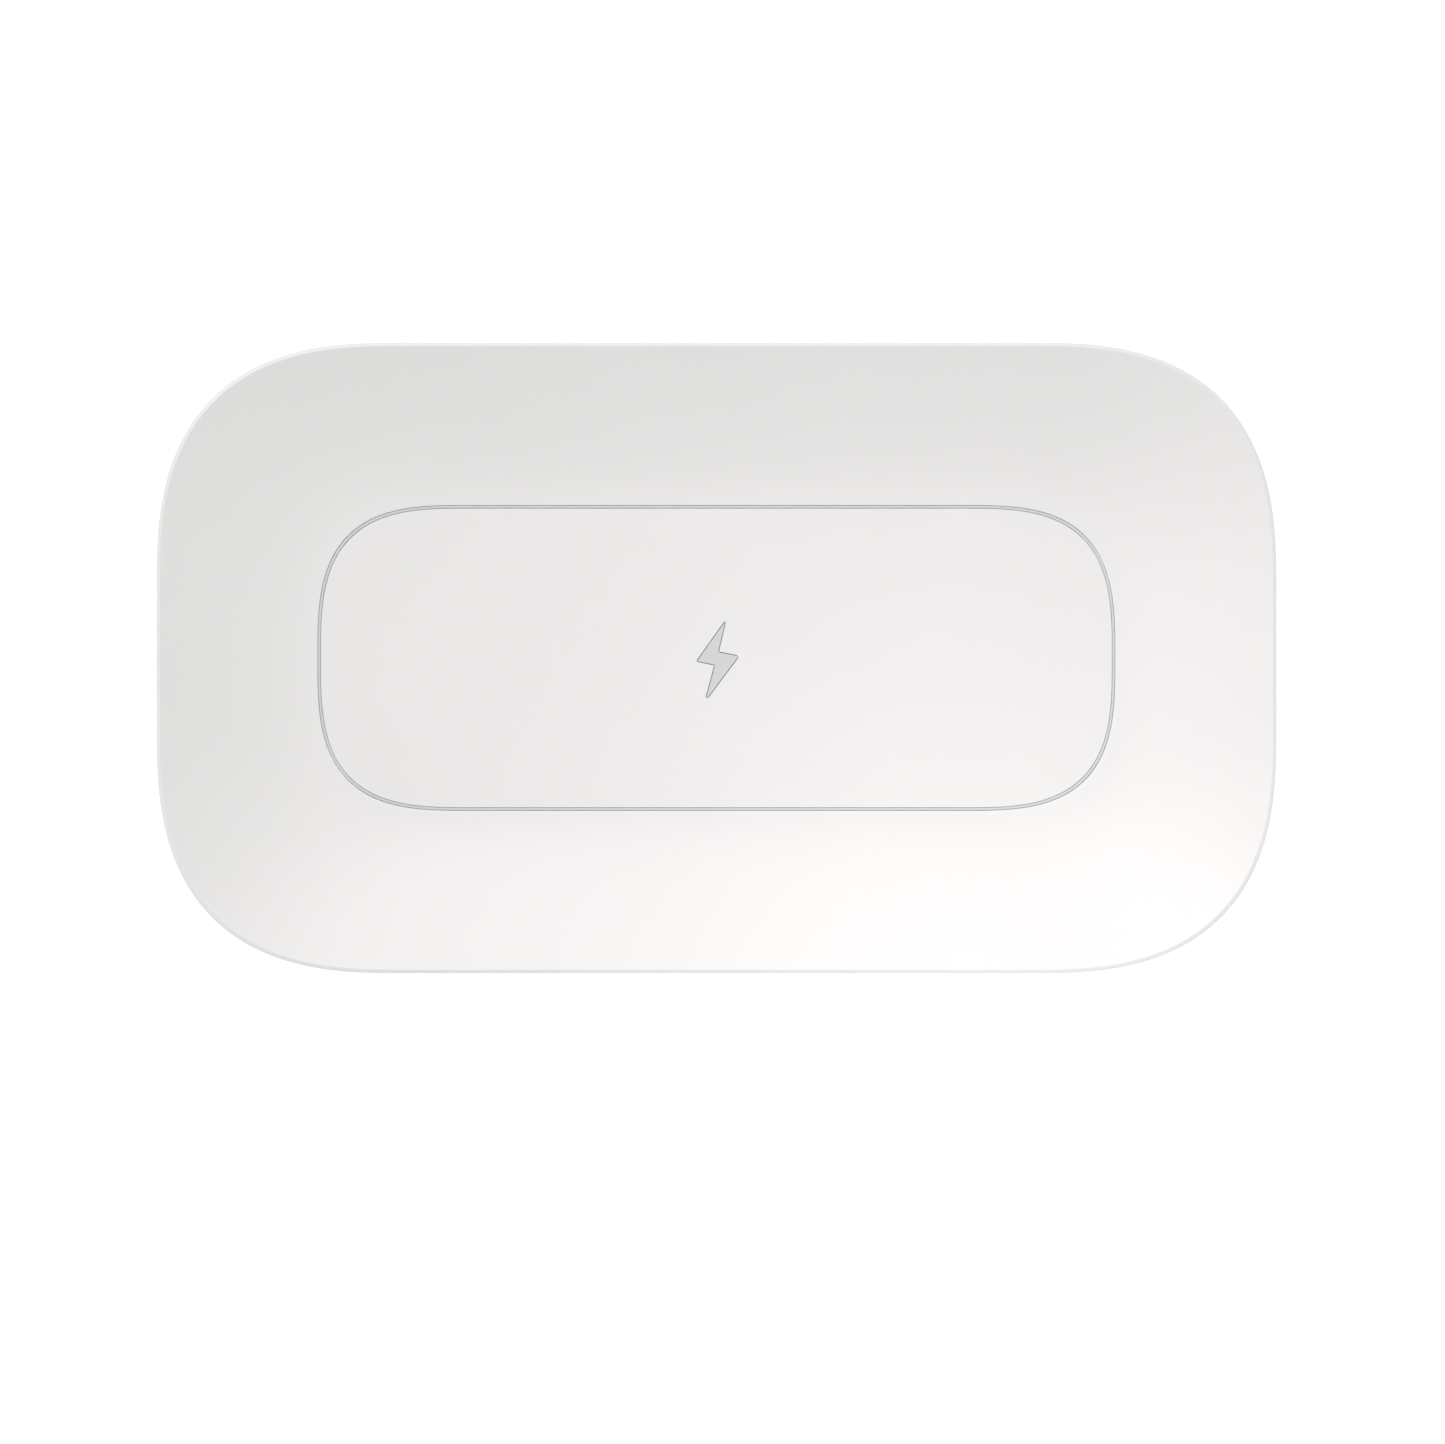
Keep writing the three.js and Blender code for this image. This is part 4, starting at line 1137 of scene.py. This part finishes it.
# %% Floor and wall
WALL_TOP = 1100
FLOOR_REACH = 2600
WALL_BEND = 400
SWEEP_SIDES = 96
bend = arc((FLOOR_REACH, WALL_BEND), WALL_BEND, -90, 0, 16).tolist()
sweep_profile = [[1, 0], [400, 0], [1200, 0], [FLOOR_REACH, 0]] + bend
sweep_profile += [[FLOOR_REACH + WALL_BEND, WALL_TOP]]
sweep_angle = np.arange(SWEEP_SIDES) * 2 * np.pi / SWEEP_SIDES
sweep_radius, sweep_z = np.array(sweep_profile).T[:, :, None]
sweep_x = sweep_radius * np.cos(sweep_angle)
sweep_y = sweep_radius * np.sin(sweep_angle)
sweep_points = np.stack([sweep_x, sweep_y, sweep_z + 0 * sweep_x], -1).reshape(-1, 3)
sweep_faces = grid_faces(len(sweep_profile), SWEEP_SIDES).tolist()
sweep_faces.append(list(range(SWEEP_SIDES))[::-1])
sweep_mesh = bpy.data.meshes.new("studio_sweep")
sweep_mesh.from_pydata((sweep_points * MM).tolist(), [], [face[::-1] for face in sweep_faces])
sweep_mesh.shade_smooth()
sweep_mesh.materials.append(light_table_with_painted_shadow("pale_studio_floor", (0.15, 0.15, 0.15), 0.8))
sweep = bpy.data.objects.new("studio_sweep", sweep_mesh)
bpy.context.scene.collection.objects.link(sweep)
print("studio sweep", len(sweep_faces), "faces")

# %% [markdown]
# One large lamp stands high over the rear left corner, so the slopes on the front right lean
# towards it and glow while the ones below it fall off. It is a sun lamp with a wide angle,
# because a large softbox far away lights every point of the pad alike. A small lamp over the
# front right corner adds the pool of light there, and a faint sky fills the shadows.

# %% Lamps and sky
KEY_FROM = np.array([-0.186, 0.327, 1.0])
KEY_STRENGTH = 2.19
KEY_COLOUR = (1.0, 0.94, 0.942)
KEY_SPREAD = 12
POOL_AT = np.array([53, -58, 130])
POOL_POWER = 0.0269
POOL_COLOUR = (1.0, 0.926, 0.944)
POOL_SIZE = 60
SKY = 0.154
SKY_COLOUR = (0.675, 1.0, 0.98)


def lamp(name, kind, energy, colour, towards, at=(0, 0, 0)):
    """A lamp at a place in millimetres whose light goes along towards."""
    light = bpy.data.lights.new(name, kind)
    light.energy = energy
    light.color = colour
    holder = bpy.data.objects.new(name, light)
    holder.location = np.array(at) * MM
    holder.rotation_euler = Vector(towards).to_track_quat("-Z", "Y").to_euler()
    bpy.context.scene.collection.objects.link(holder)
    return holder


key = lamp("key_softbox", "SUN", KEY_STRENGTH, KEY_COLOUR, -KEY_FROM)
key.data.angle = np.radians(KEY_SPREAD)
pool = lamp("corner_pool", "AREA", POOL_POWER, POOL_COLOUR, (0, 0, -1), POOL_AT)
pool.data.shape = "DISK"
pool.data.size = POOL_SIZE * MM
pool.visible_camera = False

world = bpy.data.worlds.new("studio_sky")
world.use_nodes = True
sky = world.node_tree.nodes["Background"]
sky.inputs["Color"].default_value = (*SKY_COLOUR, 1)
sky.inputs["Strength"].default_value = SKY
bpy.context.scene.world = world
bpy.context.scene.view_settings.view_transform = "Standard"
print("key lamp from", KEY_FROM, "pool lamp at", POOL_AT)

# %% [markdown]
# The camera looks straight down through a long lens from far away, so the side walls hide under
# the rim and the outline keeps its true proportions. It stands a little in front of the pad's
# middle, which leaves more white on that side.

# %% Camera
LENS = 200.0
SENSOR = 36.0
FRAME_WIDTH = 294.2
CAMERA_OFFSET = np.array([1.24, -13.07])
distance = FRAME_WIDTH / SENSOR * LENS
camera_data = bpy.data.cameras.new("overhead_camera")
camera_data.lens = LENS
camera_data.sensor_width = SENSOR
camera_data.clip_end = 20
camera = bpy.data.objects.new("overhead_camera", camera_data)
bpy.context.scene.collection.objects.link(camera)
camera.location = np.array([*CAMERA_OFFSET, RIM_Z - 0.5 + distance]) * MM
bpy.context.scene.camera = camera
print("camera", round(distance), "mm above the rim")
